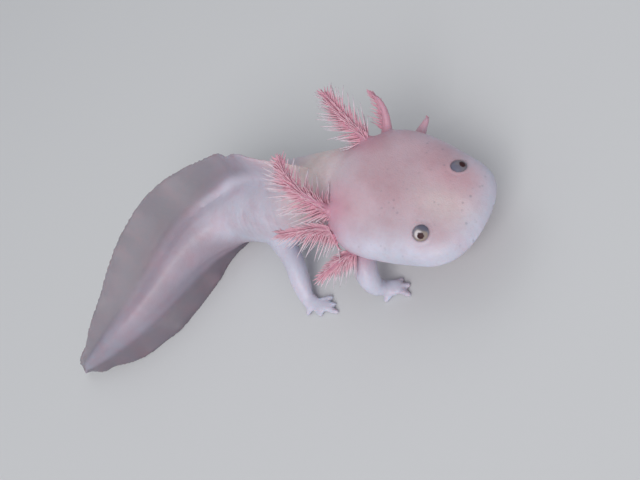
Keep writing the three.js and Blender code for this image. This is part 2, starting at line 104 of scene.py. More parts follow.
def gathered(index: Array, rows: Array, size: int) -> Array:
    """Adds up the rows that share an index."""
    return np.stack([np.bincount(index, rows[:, axis], size) for axis in range(3)], -1)


def hermite(
    t: Array, start: Array, end: Array, leaving: Array, arriving: Array, gap: Array | float = 1.0
) -> Array:
    """The cubic that runs from start to end with given slopes.

    Args:
        t: How far along it is read, from 0 to 1.
        start: Values at 0.
        end: Values at 1.
        leaving: Slopes at 0.
        arriving: Slopes at 1.
        gap: The length that t runs over, in the slopes' own measure.

    Returns:
        The values at t.
    """
    return (
        (2 * t**3 - 3 * t**2 + 1) * start
        + (t**3 - 2 * t**2 + t) * gap * leaving
        + (3 * t**2 - 2 * t**3) * end
        + (t**3 - t**2) * gap * arriving
    )


@dataclass(frozen=True)
class Curve:
    """A smooth curve through knots, with each knot's slope taken from its two neighbours."""

    knots: Knots

    def __call__(self, x: Array | float) -> Array:
        """Evaluates the cubic Hermite pieces.

        Args:
            x: Places at which the curve is read, clamped to the first and last knot.

        Returns:
            The values, in the shape of x.
        """
        place, value = np.array(self.knots, float).T
        before = np.maximum(np.arange(len(place)) - 1, 0)
        after = np.minimum(np.arange(len(place)) + 1, len(place) - 1)
        slope = (value[after] - value[before]) / (place[after] - place[before])
        x = np.clip(np.asarray(x, float), place[0], place[-1])
        i = np.clip(np.searchsorted(place, x, side="right") - 1, 0, len(place) - 2)
        gap = place[i + 1] - place[i]
        t = (x - place[i]) / gap
        return hermite(t, value[i], value[i + 1], slope[i], slope[i + 1], gap)


@dataclass(frozen=True)
class Profile:
    """Several measures along one line, as rows of a place and the measures there."""

    rows: tuple[tuple[float, ...], ...]

    def __call__(self, x: Array | float) -> list[Array]:
        """Each measure at places x, along its own smooth curve."""
        place, *measures = zip(*self.rows)
        return [Curve(tuple(zip(place, values)))(x) for values in measures]


@dataclass(frozen=True)
class Path3:
    """A centripetal Catmull-Rom curve through points, running from 0 to 1."""

    points: tuple[Point, ...]

    def pieces(self, t: Array) -> tuple[Array, ...]:
        """Finds the cubic piece that each place is on.

        Args:
            t: Places from 0 to 1.

        Returns:
            How far along its piece each place is, then the piece's two ends and two slopes.
        """
        p = np.array(self.points, float)
        p = np.vstack([2 * p[0] - p[1], p, 2 * p[-1] - p[-2]])
        at = np.clip(np.asarray(t, float), 0, 1) * (len(self.points) - 1)
        i = np.clip(np.floor(at).astype(int), 0, len(self.points) - 2)
        gaps = np.linalg.norm(np.diff(p, axis=0), axis=1)[:, None] ** 0.5
        a, b, c = gaps[i], gaps[i + 1], gaps[i + 2]
        p0, p1, p2, p3 = p[i], p[i + 1], p[i + 2], p[i + 3]
        m1 = ((p1 - p0) / a - (p2 - p0) / (a + b) + (p2 - p1) / b) * b
        m2 = ((p2 - p1) / b - (p3 - p1) / (b + c) + (p3 - p2) / c) * b
        return (at - i)[:, None], p1, p2, m1, m2

    def at(self, t: Array) -> Array:
        """The points at places t."""
        return hermite(*self.pieces(t))

    def along(self, t: Array) -> Array:
        """The curve's directions.

        Args:
            t: Places from 0 to 1.

        Returns:
            A unit vector for each place.
        """
        w, p1, p2, m1, m2 = self.pieces(t)
        return unit(
            (6 * w**2 - 6 * w) * (p1 - p2) + (3 * w**2 - 4 * w + 1) * m1 + (3 * w**2 - 2 * w) * m2
        )


@dataclass
class Frames:
    """Places with their own sideways and upward directions, one row each."""

    point: Array
    left: Array
    up: Array

    def grid(self, across: Array, along: Array) -> Array:
        """Lays rows of points across the frames.

        Args:
            across: Offsets to the left, a row for each frame.
            along: Offsets upwards.

        Returns:
            An array of frames by points by three.
        """
        return (
            self.point[:, None]
            + across[..., None] * self.left[:, None]
            + along[..., None] * self.up[:, None]
        )


def level_frames(point: Array, forward: Array) -> Frames:
    """Frames that keep their left direction level: left is the vertical crossed with forward."""
    left = unit(np.cross(UP, forward))
    return Frames(point, left, np.cross(forward, left))


def rings(
    frames: Frames, side: Array, up: Array, down: Array, power: Array | float, around: int
) -> Array:
    """Rounded sections: across is side times a signed power of the cosine, along is up or down
    times a signed power of the sine, and both powers are 2 over power.

    Args:
        frames: The place and directions of each ring.
        side: Half width of each ring.
        up: Height above the place.
        down: Depth below it.
        power: 2 gives an ellipse, more gives fuller corners and less gives flatter flanks.
        around: Points on each ring.

    Returns:
        An array of rings by points by three.
    """
    angle = np.arange(around) * 2 * np.pi / around
    c, s = np.cos(angle), np.sin(angle)
    curve = 2 / np.asarray(power, float)[..., None]
    across = np.sign(c) * np.abs(c) ** curve
    along = np.sign(s) * np.abs(s) ** curve
    height = np.where(s > 0, np.asarray(up)[:, None], np.asarray(down)[:, None])
    return frames.grid(np.asarray(side)[:, None] * across, height * along)


# ------------------------------------------------------------------ meshes

@dataclass
class Shell:
    """Points and faces of a closed surface."""

    points: Array
    quads: Array
    triangles: Array

    @classmethod
    def tube(cls, ring_grid: Array) -> "Shell":
        """Closes a stack of rings with a fan at each end.

        Args:
            ring_grid: Rings by points by three.

        Returns:
            A closed shell of quads, with triangles at its two ends.
        """
        count, around = ring_grid.shape[:2]
        i, k = np.meshgrid(np.arange(count - 1), np.arange(around), indexing="ij")
        n = (k + 1) % around
        near, far = i * around, (i + 1) * around
        quads = np.stack([near + k, near + n, far + n, far + k], -1)
        k = np.arange(around)
        n = (k + 1) % around
        first, last = count * around, count * around + 1
        base = (count - 1) * around
        fans = np.concatenate([
            np.stack([np.full(around, first), n, k], -1),
            np.stack([np.full(around, last), base + k, base + n], -1),
        ])
        ends = np.stack([ring_grid[0].mean(0), ring_grid[-1].mean(0)])
        points = np.concatenate([ring_grid.reshape(-1, 3), ends])
        return cls(points, quads.reshape(-1, 4), fans)

    @classmethod
    def joined(cls, shells: Sequence["Shell"]) -> "Shell":
        """Puts several shells into one without fusing them.

        Args:
            shells: The shells, which may overlap.

        Returns:
            One shell of all their points and faces, in their order.
        """
        start = np.cumsum([0] + [len(s.points) for s in shells[:-1]])
        return cls(
            np.concatenate([s.points for s in shells]),
            np.concatenate([s.quads + n for s, n in zip(shells, start)]),
            np.concatenate([s.triangles + n for s, n in zip(shells, start)]),
        )

    def mesh(self, name: str, scale: float = 1.0) -> bpy.types.Mesh:
        """Puts the shell into a new Blender mesh with smooth faces.

        Args:
            name: The mesh's name.
            scale: What the points are multiplied by.

        Returns:
            The mesh.
        """
        mesh = bpy.data.meshes.new(name)
        corners = np.concatenate([self.quads.ravel(), self.triangles.ravel()]).astype(np.int32)
        totals = np.concatenate([np.full(len(self.quads), 4), np.full(len(self.triangles), 3)])
        starts = np.concatenate([[0], np.cumsum(totals)[:-1]])
        mesh.vertices.add(len(self.points))
        mesh.vertices.foreach_set("co", (self.points * scale).astype(np.float32).ravel())
        mesh.loops.add(len(corners))
        mesh.loops.foreach_set("vertex_index", corners)
        mesh.polygons.add(len(totals))
        mesh.polygons.foreach_set("loop_start", starts.astype(np.int32))
        mesh.polygons.foreach_set("loop_total", totals.astype(np.int32))
        mesh.update(calc_edges=True)
        mesh.validate()
        mesh.shade_smooth()
        return mesh

    @classmethod
    def read(cls, mesh: bpy.types.Mesh) -> "Shell":
        """Takes a mesh back into arrays.

        Args:
            mesh: A mesh of quads and triangles.

        Returns:
            Its shell.
        """
        points = np.empty(len(mesh.vertices) * 3, np.float32)
        mesh.vertices.foreach_get("co", points)
        corners = np.empty(len(mesh.loops), np.int32)
        mesh.loops.foreach_get("vertex_index", corners)
        start = np.empty(len(mesh.polygons), np.int32)
        mesh.polygons.foreach_get("loop_start", start)
        total = np.empty(len(mesh.polygons), np.int32)
        mesh.polygons.foreach_get("loop_total", total)
        four, three = start[total == 4], start[total == 3]
        quads = corners[four[:, None] + np.arange(4)].reshape(-1, 4)
        triangles = corners[three[:, None] + np.arange(3)].reshape(-1, 3)
        return cls(points.reshape(-1, 3).astype(float), quads, triangles)

    def rest(self) -> None:
        """Flattens what is under the floor onto it."""
        self.points[:, 2] = np.maximum(self.points[:, 2], 0)

    def edges(self) -> Array:
        """Finds each edge once.

        Returns:
            Pairs of point numbers.
        """
        pairs = np.concatenate([
            np.stack([loop, np.roll(loop, -1, axis=1)], -1).reshape(-1, 2)
            for loop in (self.quads, self.triangles)
        ])
        pairs = np.sort(pairs, axis=1)
        return np.unique(pairs, axis=0)

    def normals(self) -> Array:
        """Sums the normals of the faces round each point, longer for larger faces.

        Returns:
            A unit normal for each point.
        """
        total = np.zeros_like(self.points)
        for loop in (self.quads, self.triangles):
            if not len(loop):
                continue
            a, b, c = (self.points[loop[:, i]] for i in (0, 1, 2))
            d = self.points[loop[:, 3]] if loop.shape[1] == 4 else a
            face = np.cross(c - a, d - b) if loop.shape[1] == 4 else np.cross(b - a, c - a)
            for corner in loop.T:
                total += gathered(corner, face, len(total))
        return total / np.maximum(np.linalg.norm(total, axis=1, keepdims=True), 1e-12)


def linked(name: str, data: bpy.types.ID) -> bpy.types.Object:
    """Makes an object and puts it into the scene.

    Args:
        name: Its name.
        data: Its mesh, light or camera.

    Returns:
        The object.
    """
    made = bpy.data.objects.new(name, data)
    bpy.context.scene.collection.objects.link(made)
    return made


def fused(shell: Shell, voxel: float) -> Shell:
    """Fuses overlapping closed shells by a voxel remesh.

    Args:
        shell: The shells as one.
        voxel: The size of the grid that they are remeshed on.

    Returns:
        One even skin of quads.
    """
    holder = linked("fusing", shell.mesh("fusing"))
    remesh = holder.modifiers.new("fuse", "REMESH")
    remesh.mode = "VOXEL"
    remesh.voxel_size = voxel
    remesh.adaptivity = 0
    graph = bpy.context.evaluated_depsgraph_get()
    mesh = bpy.data.meshes.new_from_object(holder.evaluated_get(graph))
    result = Shell.read(mesh)
    bpy.data.objects.remove(holder)
    bpy.data.meshes.remove(mesh)
    return result


class Relaxer:
    """Smooths a shell's points along its edges."""

    def __init__(self, shell: Shell) -> None:
        """Counts the neighbours of each point once.

        Args:
            shell: The shell, whose points will be moved.
        """
        self.shell = shell
        edges = shell.edges()
        self.a, self.b = edges.T
        self.degree = np.bincount(edges.ravel(), minlength=len(shell.points))[:, None]

    def pull(self) -> Array:
        """Averages the neighbours of each point.

        Returns:
            The way from each point to the middle of its neighbours.
        """
        p = self.shell.points
        total = gathered(self.a, p[self.b], len(p)) + gathered(self.b, p[self.a], len(p))
        return total / self.degree - p

    def fillet(self, rounds: int, strength: Array) -> None:
        """Fills concave creases: a point moves outwards only, by what of its pull points outwards.

        Args:
            rounds: How many small steps are made.
            strength: For each point, the share of the pull that is followed.
        """
        for i in range(rounds):
            if i % 4 == 0:
                normal = self.shell.normals()
            outward = np.maximum((self.pull() * normal).sum(1), 0)
            self.shell.points += (outward * strength)[:, None] * normal

    def even(self, rounds: int, strength: Array | float = 0.5) -> None:
        """Evens out ripples without shrinking: each inward step is followed by an outward one
        that is a little longer.

        Args:
            rounds: How many pairs of steps are made.
            strength: The share of the pull that is followed, for all points or for each.
        """
        share = np.broadcast_to(np.asarray(strength, float), (len(self.shell.points),))[:, None]
        for _ in range(rounds):
            self.shell.points += self.pull() * share
            self.shell.points -= self.pull() * share * OUTWARD


# ------------------------------------------------------------------ the forms of the body

@dataclass(frozen=True)
class HeadForm:
    """The broad flat head, in a frame of its own that is turned and placed on the trunk.

    The outline starts to close at rounding, seen from above and from the side, and ends at tip.
    """

    at: Point = (21.0, 10.1, 22.0)
    yaw: float = -14.2
    pitch: float = -13.8
    roll: float = -4.0
    back: float = -7.0
    tip: float = 35.97
    rounding: tuple[float, float] = (22.0, 24.0)
    bluntness: float = 4.0
    power: float = 2.3
    width: Curve = Curve((
        (-7, 10.2), (-3, 14.8), (2, 18.5), (8, 19.3), (14, 18.6), (20, 17.5), (26, 16.1),
        (36.1, 14.3),
    ))
    depth: Profile = Profile((
        (-7, 7.4, 8.6), (-3, 8.8, 8.4), (2, 9.1, 8.0), (8, 8.8, 7.7), (14, 8.2, 7.2),
        (20, 7.5, 6.5), (26, 6.4, 5.6), (31, 5.4, 4.8), (36.1, 4.5, 4.0),
    ))

    @property
    def turn(self) -> Array:
        """Turns the head: a roll, then nose down, then round to one side.

        Returns:
            The matrix from the head's frame to the model's.
        """
        turns = ((self.yaw, "Z"), (-self.pitch, "Y"), (self.roll, "X"))
        about_z, about_y, about_x = (
            np.array(Matrix.Rotation(math.radians(angle), 3, axis)) for angle, axis in turns
        )
        return about_z @ about_y @ about_x

    def out(self, points: Array | Sequence[Point]) -> Array:
        """Takes points from the head's frame to the model's."""
        return np.asarray(points, float) @ self.turn.T + np.array(self.at)

    def into(self, points: Array) -> Array:
        """Takes points from the model's frame to the head's."""
        return (points - np.array(self.at)) @ self.turn

    def taper(self, x: Array, start: float) -> Array:
        """How the outline closes at the snout: the root of one less a power of the way."""
        share = np.maximum((x - start) / (self.tip - start), 0)
        return np.sqrt(np.maximum(1 - share**self.bluntness, 1e-4))

    def half(self, x: Array) -> tuple[Array, Array, Array]:
        """Half width, height and depth of the head.

        Args:
            x: Places along its middle line.

        Returns:
            The three measures there.
        """
        wide, deep = (self.taper(x, start) for start in self.rounding)
        top, bottom = self.depth(x)
        return self.width(x) * wide, top * deep, bottom * deep

    def frames(self, x: Array) -> Frames:
        """Frames across the head.

        Args:
            x: Places along its middle line.

        Returns:
            The frames, in the model's frame.
        """
        ahead = np.stack([x, 0 * x, 0 * x], -1)
        left, up = (np.broadcast_to(self.turn[:, axis], ahead.shape) for axis in (1, 2))
        return Frames(self.out(ahead), left, up)

    def shell(self) -> Shell:
        """Stacks the head's rings, which crowd towards the snout by a sine.

        Returns:
            A closed shell.
        """
        start = self.rounding[0]
        crowd = start + (self.tip - start) * np.sin(np.linspace(0, 1, 28) * np.pi / 2)
        x = np.concatenate([np.linspace(self.back, start, 30)[:-1], crowd])
        return Shell.tube(rings(self.frames(x), *self.half(x), self.power, 72))


@dataclass(frozen=True)
class Spine:
    """The middle line of the trunk and tail, counted backwards from the skull.

    The line's heading is in degrees from the way ahead, and lean is how far the section rolls
    over. girth gives the muscle's half width, height and depth. The trunk's line has its own
    height, and from stands on the lower fin's edge is laid on the floor, less floor_flat.
    """

    start: Point = (21.8, 9.7, 22.0)
    tail_tip: float = 157.0
    muscle_tip: float = 153.0
    tip_length: float = 4.0
    step: float = 0.5
    floor_flat: float = 0.25
    stands: tuple[float, float] = (68.0, 88.0)
    power: Curve = Curve(((60, 2.15), (84, 2.1), (110, 2.05), (150, 2.0)))
    heading: Curve = Curve((
        (0, -13), (10, -5), (22, -3), (36, -8), (53, -4), (66, 19), (78, 48), (90, 62), (104, 61),
        (118, 46.5), (132, 32.5), (146, 23.5), (157, 20),
    ))
    lean: Curve = Curve(((26, 0), (44, 9), (62, 20), (84, 27), (100, 30), (122, 28), (157, 16)))
    girth: Profile = Profile((
        (0, 12, 9, 9), (7, 11.0, 9.0, 8.8), (14, 11.3, 9.6, 9.6), (24, 12.3, 10.0, 10.6),
        (38, 13.5, 10.8, 11.3), (50, 13.3, 10.7, 11.3), (60, 12.0, 9.6, 10.8), (70, 9.8, 8.1, 9.9),
        (83, 7.4, 6.3, 9.1), (95, 5.5, 4.4, 8.0), (106, 4.3, 3.1, 6.8), (118, 3.2, 2.2, 5.3),
        (130, 2.3, 1.6, 4.1), (142, 1.6, 1.1, 2.5), (153, 0.8, 0.6, 0.9),
    ))
    back_fin: Curve = Curve((
        (13, 0.6), (18, 4.6), (24, 9.0), (30, 11.6), (38, 11.9), (50, 11.1), (58, 12.4), (66, 13.6),
        (74, 14.6), (84, 15.8), (95, 16.0), (106, 14.9), (118, 12.0), (130, 8.1), (142, 4.3),
        (151, 2.5), (157, 0.4),
    ))
    under_fin: Curve = Curve((
        (67, 0.4), (74, 3.2), (83, 6.0), (95, 8.4), (106, 9.3), (118, 9.4), (130, 8.3), (142, 6.0),
        (151, 3.6), (157, 0.4),
    ))
    trunk_height: Curve = Curve((
        (0, 22), (8, 21.8), (18, 20.0), (32, 16.4), (44, 13.0), (54, 10.9), (64, 10.1), (74, 11.0),
        (84, 12.6),
    ))

    def height(self, s: Array) -> Array:
        """Height of the line: the trunk's own, then what stands the lower fin on the floor.

        Args:
            s: Places along the line.

        Returns:
            The heights over the floor.
        """
        reach = self.girth(np.minimum(s, self.muscle_tip))[2] + self.under_fin(s)
        standing = reach * np.cos(np.radians(self.lean(s))) - self.floor_flat
        t = ease(s, *self.stands)
        return self.trunk_height(s) * (1 - t) + standing * t

    def line(self) -> tuple[Array, Array]:
        """Lays the line backwards from its start in short straight steps.

        Returns:
            Places along the line, and its point at each.
        """
        s = np.arange(0, self.tail_tip + 2 + self.step, self.step)
        height = self.height(s)
        run = np.sqrt(self.step**2 - np.diff(height) ** 2)
        heading = np.radians(self.heading(s[:-1] + self.step / 2))
        x = self.start[0] - np.concatenate([[0], np.cumsum(run * np.cos(heading))])
        y = self.start[1] - np.concatenate([[0], np.cumsum(run * np.sin(heading))])
        return s, np.stack([x, y, height], -1)

    def frames(self, s: Array) -> Frames:
        """Frames across the line that lean over with the tail.

        Args:
            s: Places along the line.

        Returns:
            The frames there.
        """
        places, points = self.line()
        point = np.stack([np.interp(s, places, points[:, axis]) for axis in range(3)], -1)
        i = np.minimum((np.asarray(s) / self.step).astype(int), len(places) - 2)
        forward = unit(points[np.maximum(i - 1, 0)] - points[np.minimum(i + 2, len(places) - 1)])
        heading = np.radians(self.heading(s))
        level = np.stack([-np.sin(heading), np.cos(heading), 0 * heading], -1)
        upright = unit(np.cross(forward, level))
        lean = np.radians(self.lean(s))[:, None]
        return Frames(
            point,
            level * np.cos(lean) - upright * np.sin(lean),
            upright * np.cos(lean) + level * np.sin(lean),
        )

    def half(self, s: Array) -> tuple[Array, Array, Array]:
        """Half width, height and depth of the muscle, which closes in a round tip.

        Args:
            s: Places along the line.

        Returns:
            The three measures there.
        """
        past = np.clip((s - (self.muscle_tip - self.tip_length)) / self.tip_length, 0, 0.98)
        size = np.sqrt(1 - past**2)
        return tuple(measure * size for measure in self.girth(s))

    def muscle(self) -> Shell:
        """Stacks the rings of the trunk and of the tail's muscle, closer at the tip.

        Returns:
            A closed shell.
        """
        closing = np.array((1, 0.75, 0.5, 0.3, 0.15, 0.02))
        s = np.concatenate([
            np.arange(0, self.muscle_tip - self.tip_length, 0.8),
            self.muscle_tip - self.tip_length * closing,
        ])
        return Shell.tube(rings(self.frames(s), *self.half(s), self.power(s), 64))


class Side(Enum):
    """Which way a fin stands from the muscle."""

    BACK = 1
    UNDER = -1


@dataclass(frozen=True)
class FinForm:
    """A thin fold of skin along the back or under the tail.

    It rises from inside the muscle, at the share rise of its height. Its half thickness falls
    from root to edge by the power thinning of the way out, and its edge is round. A slow ripple
    carries it from side to side.
    """

    side: Side
    start: float
    spine: Spine
    root: float = 1.15
    edge: float = 0.46
    ripple: float = 0.5
    rise: float = 0.55
    thinning: float = 1.3
    step: float = 0.6

    def reach(self, s: Array) -> tuple[Array, Array]:
        """Heights over the line on this fin's side.

        Args:
            s: Places along the line.

        Returns:
            The muscle's own height and the height of the fin's edge.
        """
        _, top, bottom = self.spine.half(s)
        muscle = top if self.side is Side.BACK else bottom
        fin = self.spine.back_fin if self.side is Side.BACK else self.spine.under_fin
        return muscle, muscle + fin(s)

    def sway(self, s: Array, out: Array) -> Array:
        """Sideways ripple: two sine waves along the fin that grow by the square of the way out.

        Args:
            s: Places along the line.
            out: How far out from the muscle, from 0 to 1.

        Returns:
            How far to the left the fin's middle is carried.
        """
        wave = np.sin(s / 3.1 + 0.6) + 0.6 * np.sin(s / 1.9 + 2.0)
        return self.ripple * wave * out**2 * ease(s, self.start, self.start + 25)

    def shell(self) -> Shell:
        """The fin as a stack of thin upright rings.

        Returns:
            A closed shell. Where the muscle is low, near the tail's tip, the root is slimmer.
        """
        s = np.arange(self.start, self.spine.tail_tip, self.step)
        frames = self.spine.frames(s)
        muscle, edge = self.reach(s)
        out = np.concatenate([np.linspace(0, 0.94, 13), [0.975, 0.995]])
        base = muscle * self.rise
        height = base[:, None] + (edge - base)[:, None] * out
        thick = self.edge + (self.root - self.edge) * (1 - out) ** self.thinning
        thick = thick * np.sqrt(np.clip((1 - out) / 0.05, 0.02, 1)) ** 0.7
        slim = np.clip(muscle[:, None] / 3, 0.35, 1)
        least = self.edge * 0.9
        thick = least + (thick - least) * np.where(thick > self.edge, slim, 1)
        past = np.clip((height - muscle[:, None]) / np.maximum(edge - muscle, 0.5)[:, None], 0, 1)
        middle = self.sway(s[:, None], past)
        across = np.concatenate([middle + thick, (middle - thick)[:, ::-1]], 1)
        along = np.concatenate([height, height[:, ::-1]], 1) * self.side.value
        return Shell.tube(frames.grid(across, along))


@dataclass(frozen=True)
class LegForm:
    """A leg from inside the trunk to its hand or foot, with spread digits flat on the floor.

    sizes gives the limb's half width and half height from its first point, at 0, to its last,
    at 1. plate gives those of the palm, from the wrist to palm_reach beyond its middle.
    """

    points: tuple[Point, ...]
    sizes: Profile
    palm: Point
    digits: tuple[tuple[float, float], ...]
    digit_radius: float = 0.98
    tip_height: float = 0.42
    palm_reach: float = 1.8
    plate: tuple[Point, ...] = ((0.35, 2.4, 1.4), (0.7, 2.5, 1.1), (1.0, 1.8, 0.85))
    around: int = 28

    @property
    def tips(self) -> Array:
        """The ends of the digits."""
        return np.array([(x, y, self.tip_height) for x, y in self.digits])

    def shells(self) -> list[Shell]:
        """The limb with its palm, and each digit.

        Returns:
            The closed shells, which overlap.
        """
        path = Path3(self.points)
        t = np.linspace(0, 1, 40)
        wide, tall = self.sizes(t)
        limb = rings(level_frames(path.at(t), path.along(t)), wide, tall, tall, 2, self.around)
        wrist, palm = np.array(self.points[-1]), np.array(self.palm)
        tips = self.tips
        ahead = unit((tips.mean(0) - wrist) * (1, 1, 0))
        end = palm + ahead * self.palm_reach
        share, side, up = np.array(self.plate).T
        flat = Frames(
            wrist + (end - wrist) * share[:, None],
            np.tile((-ahead[1], ahead[0], 0.0), (3, 1)),
            np.tile(UP, (3, 1)),
        )
        plate = rings(flat, side, up, up, 2.2, self.around)
        shells = [Shell.tube(np.concatenate([limb, plate]))]
        return shells + [self.digit(palm + (tip - palm) * 0.1, tip) for tip in tips]

    def digit(self, root: Array, tip: Array) -> Shell:
        """One digit: a quadratic curve over a low hump, slightly swollen at its joint.

        Args:
            root: Its start inside the palm.
            tip: Its end.

        Returns:
            A closed shell with a round end.
        """
        hump = root + (tip - root) * 0.45
        hump[2] = max(root[2], tip[2]) * 0.9 + 0.25
        t = np.concatenate([np.linspace(0, 0.9, 14), [0.95, 0.98, 1.0]])[:, None]
        point = root * (1 - t) ** 2 + hump * 2 * t * (1 - t) + tip * t**2
        forward = unit((hump - root) * (1 - t) + (tip - hump) * t)
        t = t[:, 0]
        radius = self.digit_radius * (1 - 0.22 * t) * (1 + 0.08 * bell(t - 0.55, 0.12))
        radius = radius * np.sqrt(np.clip(1 - ((t - 0.86) / 0.14).clip(0) ** 2, 0.04, 1))
        return Shell.tube(rings(level_frames(point, forward), radius, radius, radius, 2, 14))


ARM = Profile((
    (0, 3.8, 3.9), (0.25, 3.6, 3.7), (0.5, 3.2, 3.2), (0.75, 2.8, 2.6), (1, 2.4, 1.6),
))
HIND = Profile((
    (0, 4.2, 4.2), (0.25, 3.8, 3.9), (0.5, 3.2, 3.3), (0.75, 3.0, 2.9), (1, 2.4, 1.6),
))
PALM_SIZE = 1.6
LEGS = (
    LegForm(  # front right
        ((11.5, 3, 17), (17.6, -4.5, 13.2), (19.6, -10.9, 9), (19.7, -11.6, 5.2), (21, -10.7, 2.3)),
        ARM, (23.4, -10.1, 1.15), ((20.6, -14.4), (28.7, -12.3), (27.7, -8.9), (24.6, -6.9)),
    ),
    LegForm(  # front left
        ((9.5, 18, 16.5), (6.4, 25, 12.4), (2.6, 28.8, 8.4), (1.6, 28.4, 5.0), (2.6, 27.6, 2.3)),
        ARM, (4.8, 26.8, 1.15), ((4.6, 31.0), (8.8, 29.4), (10.2, 26.4), (8.6, 23.4)),
    ),
    LegForm(  # hind right
        ((-24, 6, 10), (-17, 1.0, 10), (-11.1, -5.2, 8.4), (-8.7, -10.5, 5.2), (-7.3, -14.1, 2.4)),
        HIND, (-5.3, -15.6, 1.15),
        ((-6.3, -19.0), (-0.6, -19.0), (5.2, -17.8), (3.5, -15.3), (1.4, -12.8)),
    ),
    LegForm(  # hind left
        (
            (-30, 19.5, 8.8), (-35, 26.4, 8.8), (-39.6, 31.4, 7.8), (-42.2, 32.2, 5),
            (-43.2, 33, 2.4),
        ),
        HIND, (-44.0, 35.2, 1.15),
        ((-48.4, 34.6), (-48.6, 37.6), (-46.2, 40.2), (-42.6, 40.0), (-40.2, 37.0)),
    ),
)


@dataclass(frozen=True)
class GillForm:
    """An outside gill: a fleshy stalk that grows from the head and carries rows of filaments.

    points are in the head's frame, root and tip are half widths, and blush is how rosy it is.
    """

    name: str
    points: tuple[Point, ...]
    head: HeadForm
    root: float
    tip: float
    blush: float = 1.0

    @property
    def path(self) -> Path3:
        """The stalk's middle line in the model's frame."""
        return Path3(tuple(map(tuple, self.head.out(self.points))))

    def radius(self, t: Array) -> Array:
        """Half width of the stalk, from root to tip by a power of the way along."""
        return self.root + (self.tip - self.root) * np.asarray(t) ** 0.8

    def shell(self) -> Shell:
        """Makes the stalk as a tapered tube with a round end.

        Returns:
            A closed shell.
        """
        t = np.linspace(0, 1, 36)
        frames = level_frames(self.path.at(t), self.path.along(t))
        side = self.radius(t) * np.sqrt(np.clip((1 - t) / 0.03, 0.05, 1))
        tall = side * 0.8
        return Shell.tube(rings(frames, side, tall, tall, 2, 20))


def gill_forms(head: HeadForm) -> tuple[GillForm, ...]:
    """The three gills of each side, with their own bends and lengths.

    Args:
        head: The head that they grow from.

    Returns:
        The gills, from the right side's upper one to the left side's lower one.
    """
    return (
        GillForm("upper_right", (
            (-0.5, -10, 4), (-2.1, -12.6, 5.4), (-5.1, -12.9, 8.9), (-8.7, -13.3, 13.4),
            (-11.9, -12, 16.8), (-14.8, -9.3, 19.1),
        ), head, root=1.6, tip=0.5),
        GillForm("middle_right", (
            (1.6, -13.3, 1.3), (0, -15.2, 1.4), (-4.1, -17.3, 3.1), (-8.7, -20.2, 3.9),
            (-13.1, -22.6, 3.8),
        ), head, root=1.6, tip=0.5),
        GillForm("lower_right", (
            (4.8, -15.5, -3.8), (3.7, -17.9, -4.2), (0.6, -21.4, -5.7), (-2.4, -25.8, -7.5),
        ), head, root=1.9, tip=0.6),
        GillForm("upper_left", (
            (-2.3, 9, 5.2), (-3.7, 10.3, 6.4), (-9, 12, 9.8), (-13.9, 14.1, 12.3),
            (-18.4, 16.3, 14),
        ), head, root=1.8, tip=0.5, blush=0.9),
        GillForm("middle_left", (
            (-0.4, 13.6, 2.6), (-2, 16.9, 3.7), (-3.3, 19.8, 6.5), (-5.1, 21.6, 8.6),
            (-7.9, 22.8, 10.2),
        ), head, root=2.1, tip=0.5, blush=0.75),
        GillForm("lower_left", (
            (4.5, 16.1, -2.3), (5, 20.5, -1.5), (5.5, 22.9, -0.3), (5.9, 25.2, 0.8),
        ), head, root=2.7, tip=0.7, blush=0.45),
    )


# ------------------------------------------------------------------ the skin

def tube_gap(points: Array, path: Path3, radius: Callable[[Array], Array]) -> Array:
    """How far each point is outside a tapered tube: the least of distance less radius.

    Args:
        points: Points in the model's frame.
        path: The tube's middle line.
        radius: The tube's radius at places from 0 to 1.

    Returns:
        One distance for each point, negative inside the tube.
    """
    t = np.linspace(0, 1, 26)
    nearest = np.full(len(points), np.inf)
    for centre, size in zip(path.at(t), radius(t)):
        nearest = np.minimum(nearest, distance(points, centre) - size)
    return nearest


@dataclass
class Places:
    """Where each point of the skin is on the animal.

    head holds its place in the head's frame, s its place along the spine, across and along its
    offsets from there to the left and up, muscle its share of the way to the muscle's surface,
    leg and gill its distances from those, and rose how rosy the gills make it.
    """

    head: Array
    s: Array
    across: Array
    along: Array
    muscle: Array
    leg: Array
    gill: Array
    rose: Array

    @classmethod
    def of(cls, points: Array, head: HeadForm, spine: Spine, gills: Sequence[GillForm]) -> "Places":
        """Measures points against the head, the spine, the legs and the gills.

        The muscle's measure is the root of the squares of the sideways and upright offsets, each
        as a share of the half width or half height there, so it is 1 on the muscle's surface.

        Args:
            points: Points in the model's frame.
            head: The head's form.
            spine: The spine's form.
            gills: The gills' forms.

        Returns:
            The measures of each point.
        """
        s, line = spine.line()
        nearest = np.empty(len(points), int)
        for part in np.array_split(np.arange(len(points)), 24):
            offset = points[part, None].astype(np.float32) - line[None].astype(np.float32)
            nearest[part] = (offset**2).sum(-1).argmin(1)
        s = s[nearest]
        frames = spine.frames(s)
        offset = points - frames.point
        across = (offset * frames.left).sum(1)
        along = (offset * frames.up).sum(1)
        width, top, bottom = spine.half(s)
        share = np.hypot(across / width, along / np.where(along > 0, top, bottom))
        leg = np.full(len(points), np.inf)
        for form in LEGS:
            path = Path3(form.points + (form.palm,))
            leg = np.minimum(leg, tube_gap(points, path, lambda t, f=form: f.sizes(t)[0]))
        leg = np.minimum(leg, tips_gap(points))
        gill = np.full(len(points), np.inf)
        rose = np.zeros(len(points))
        for form in gills:
            gap = tube_gap(points, form.path, form.radius)
            gill = np.minimum(gill, gap)
            root = distance(points, form.path.at(np.array([0.16])))
            rosy = np.maximum(1 - ease(gap, -0.5, 1.8), 0.66 * bell(np.maximum(root - 2.0, 0), 4.4))
            rose = np.maximum(rose, rosy * form.blush)
        return cls(head.into(points), s, across, along, share, leg, gill, rose)


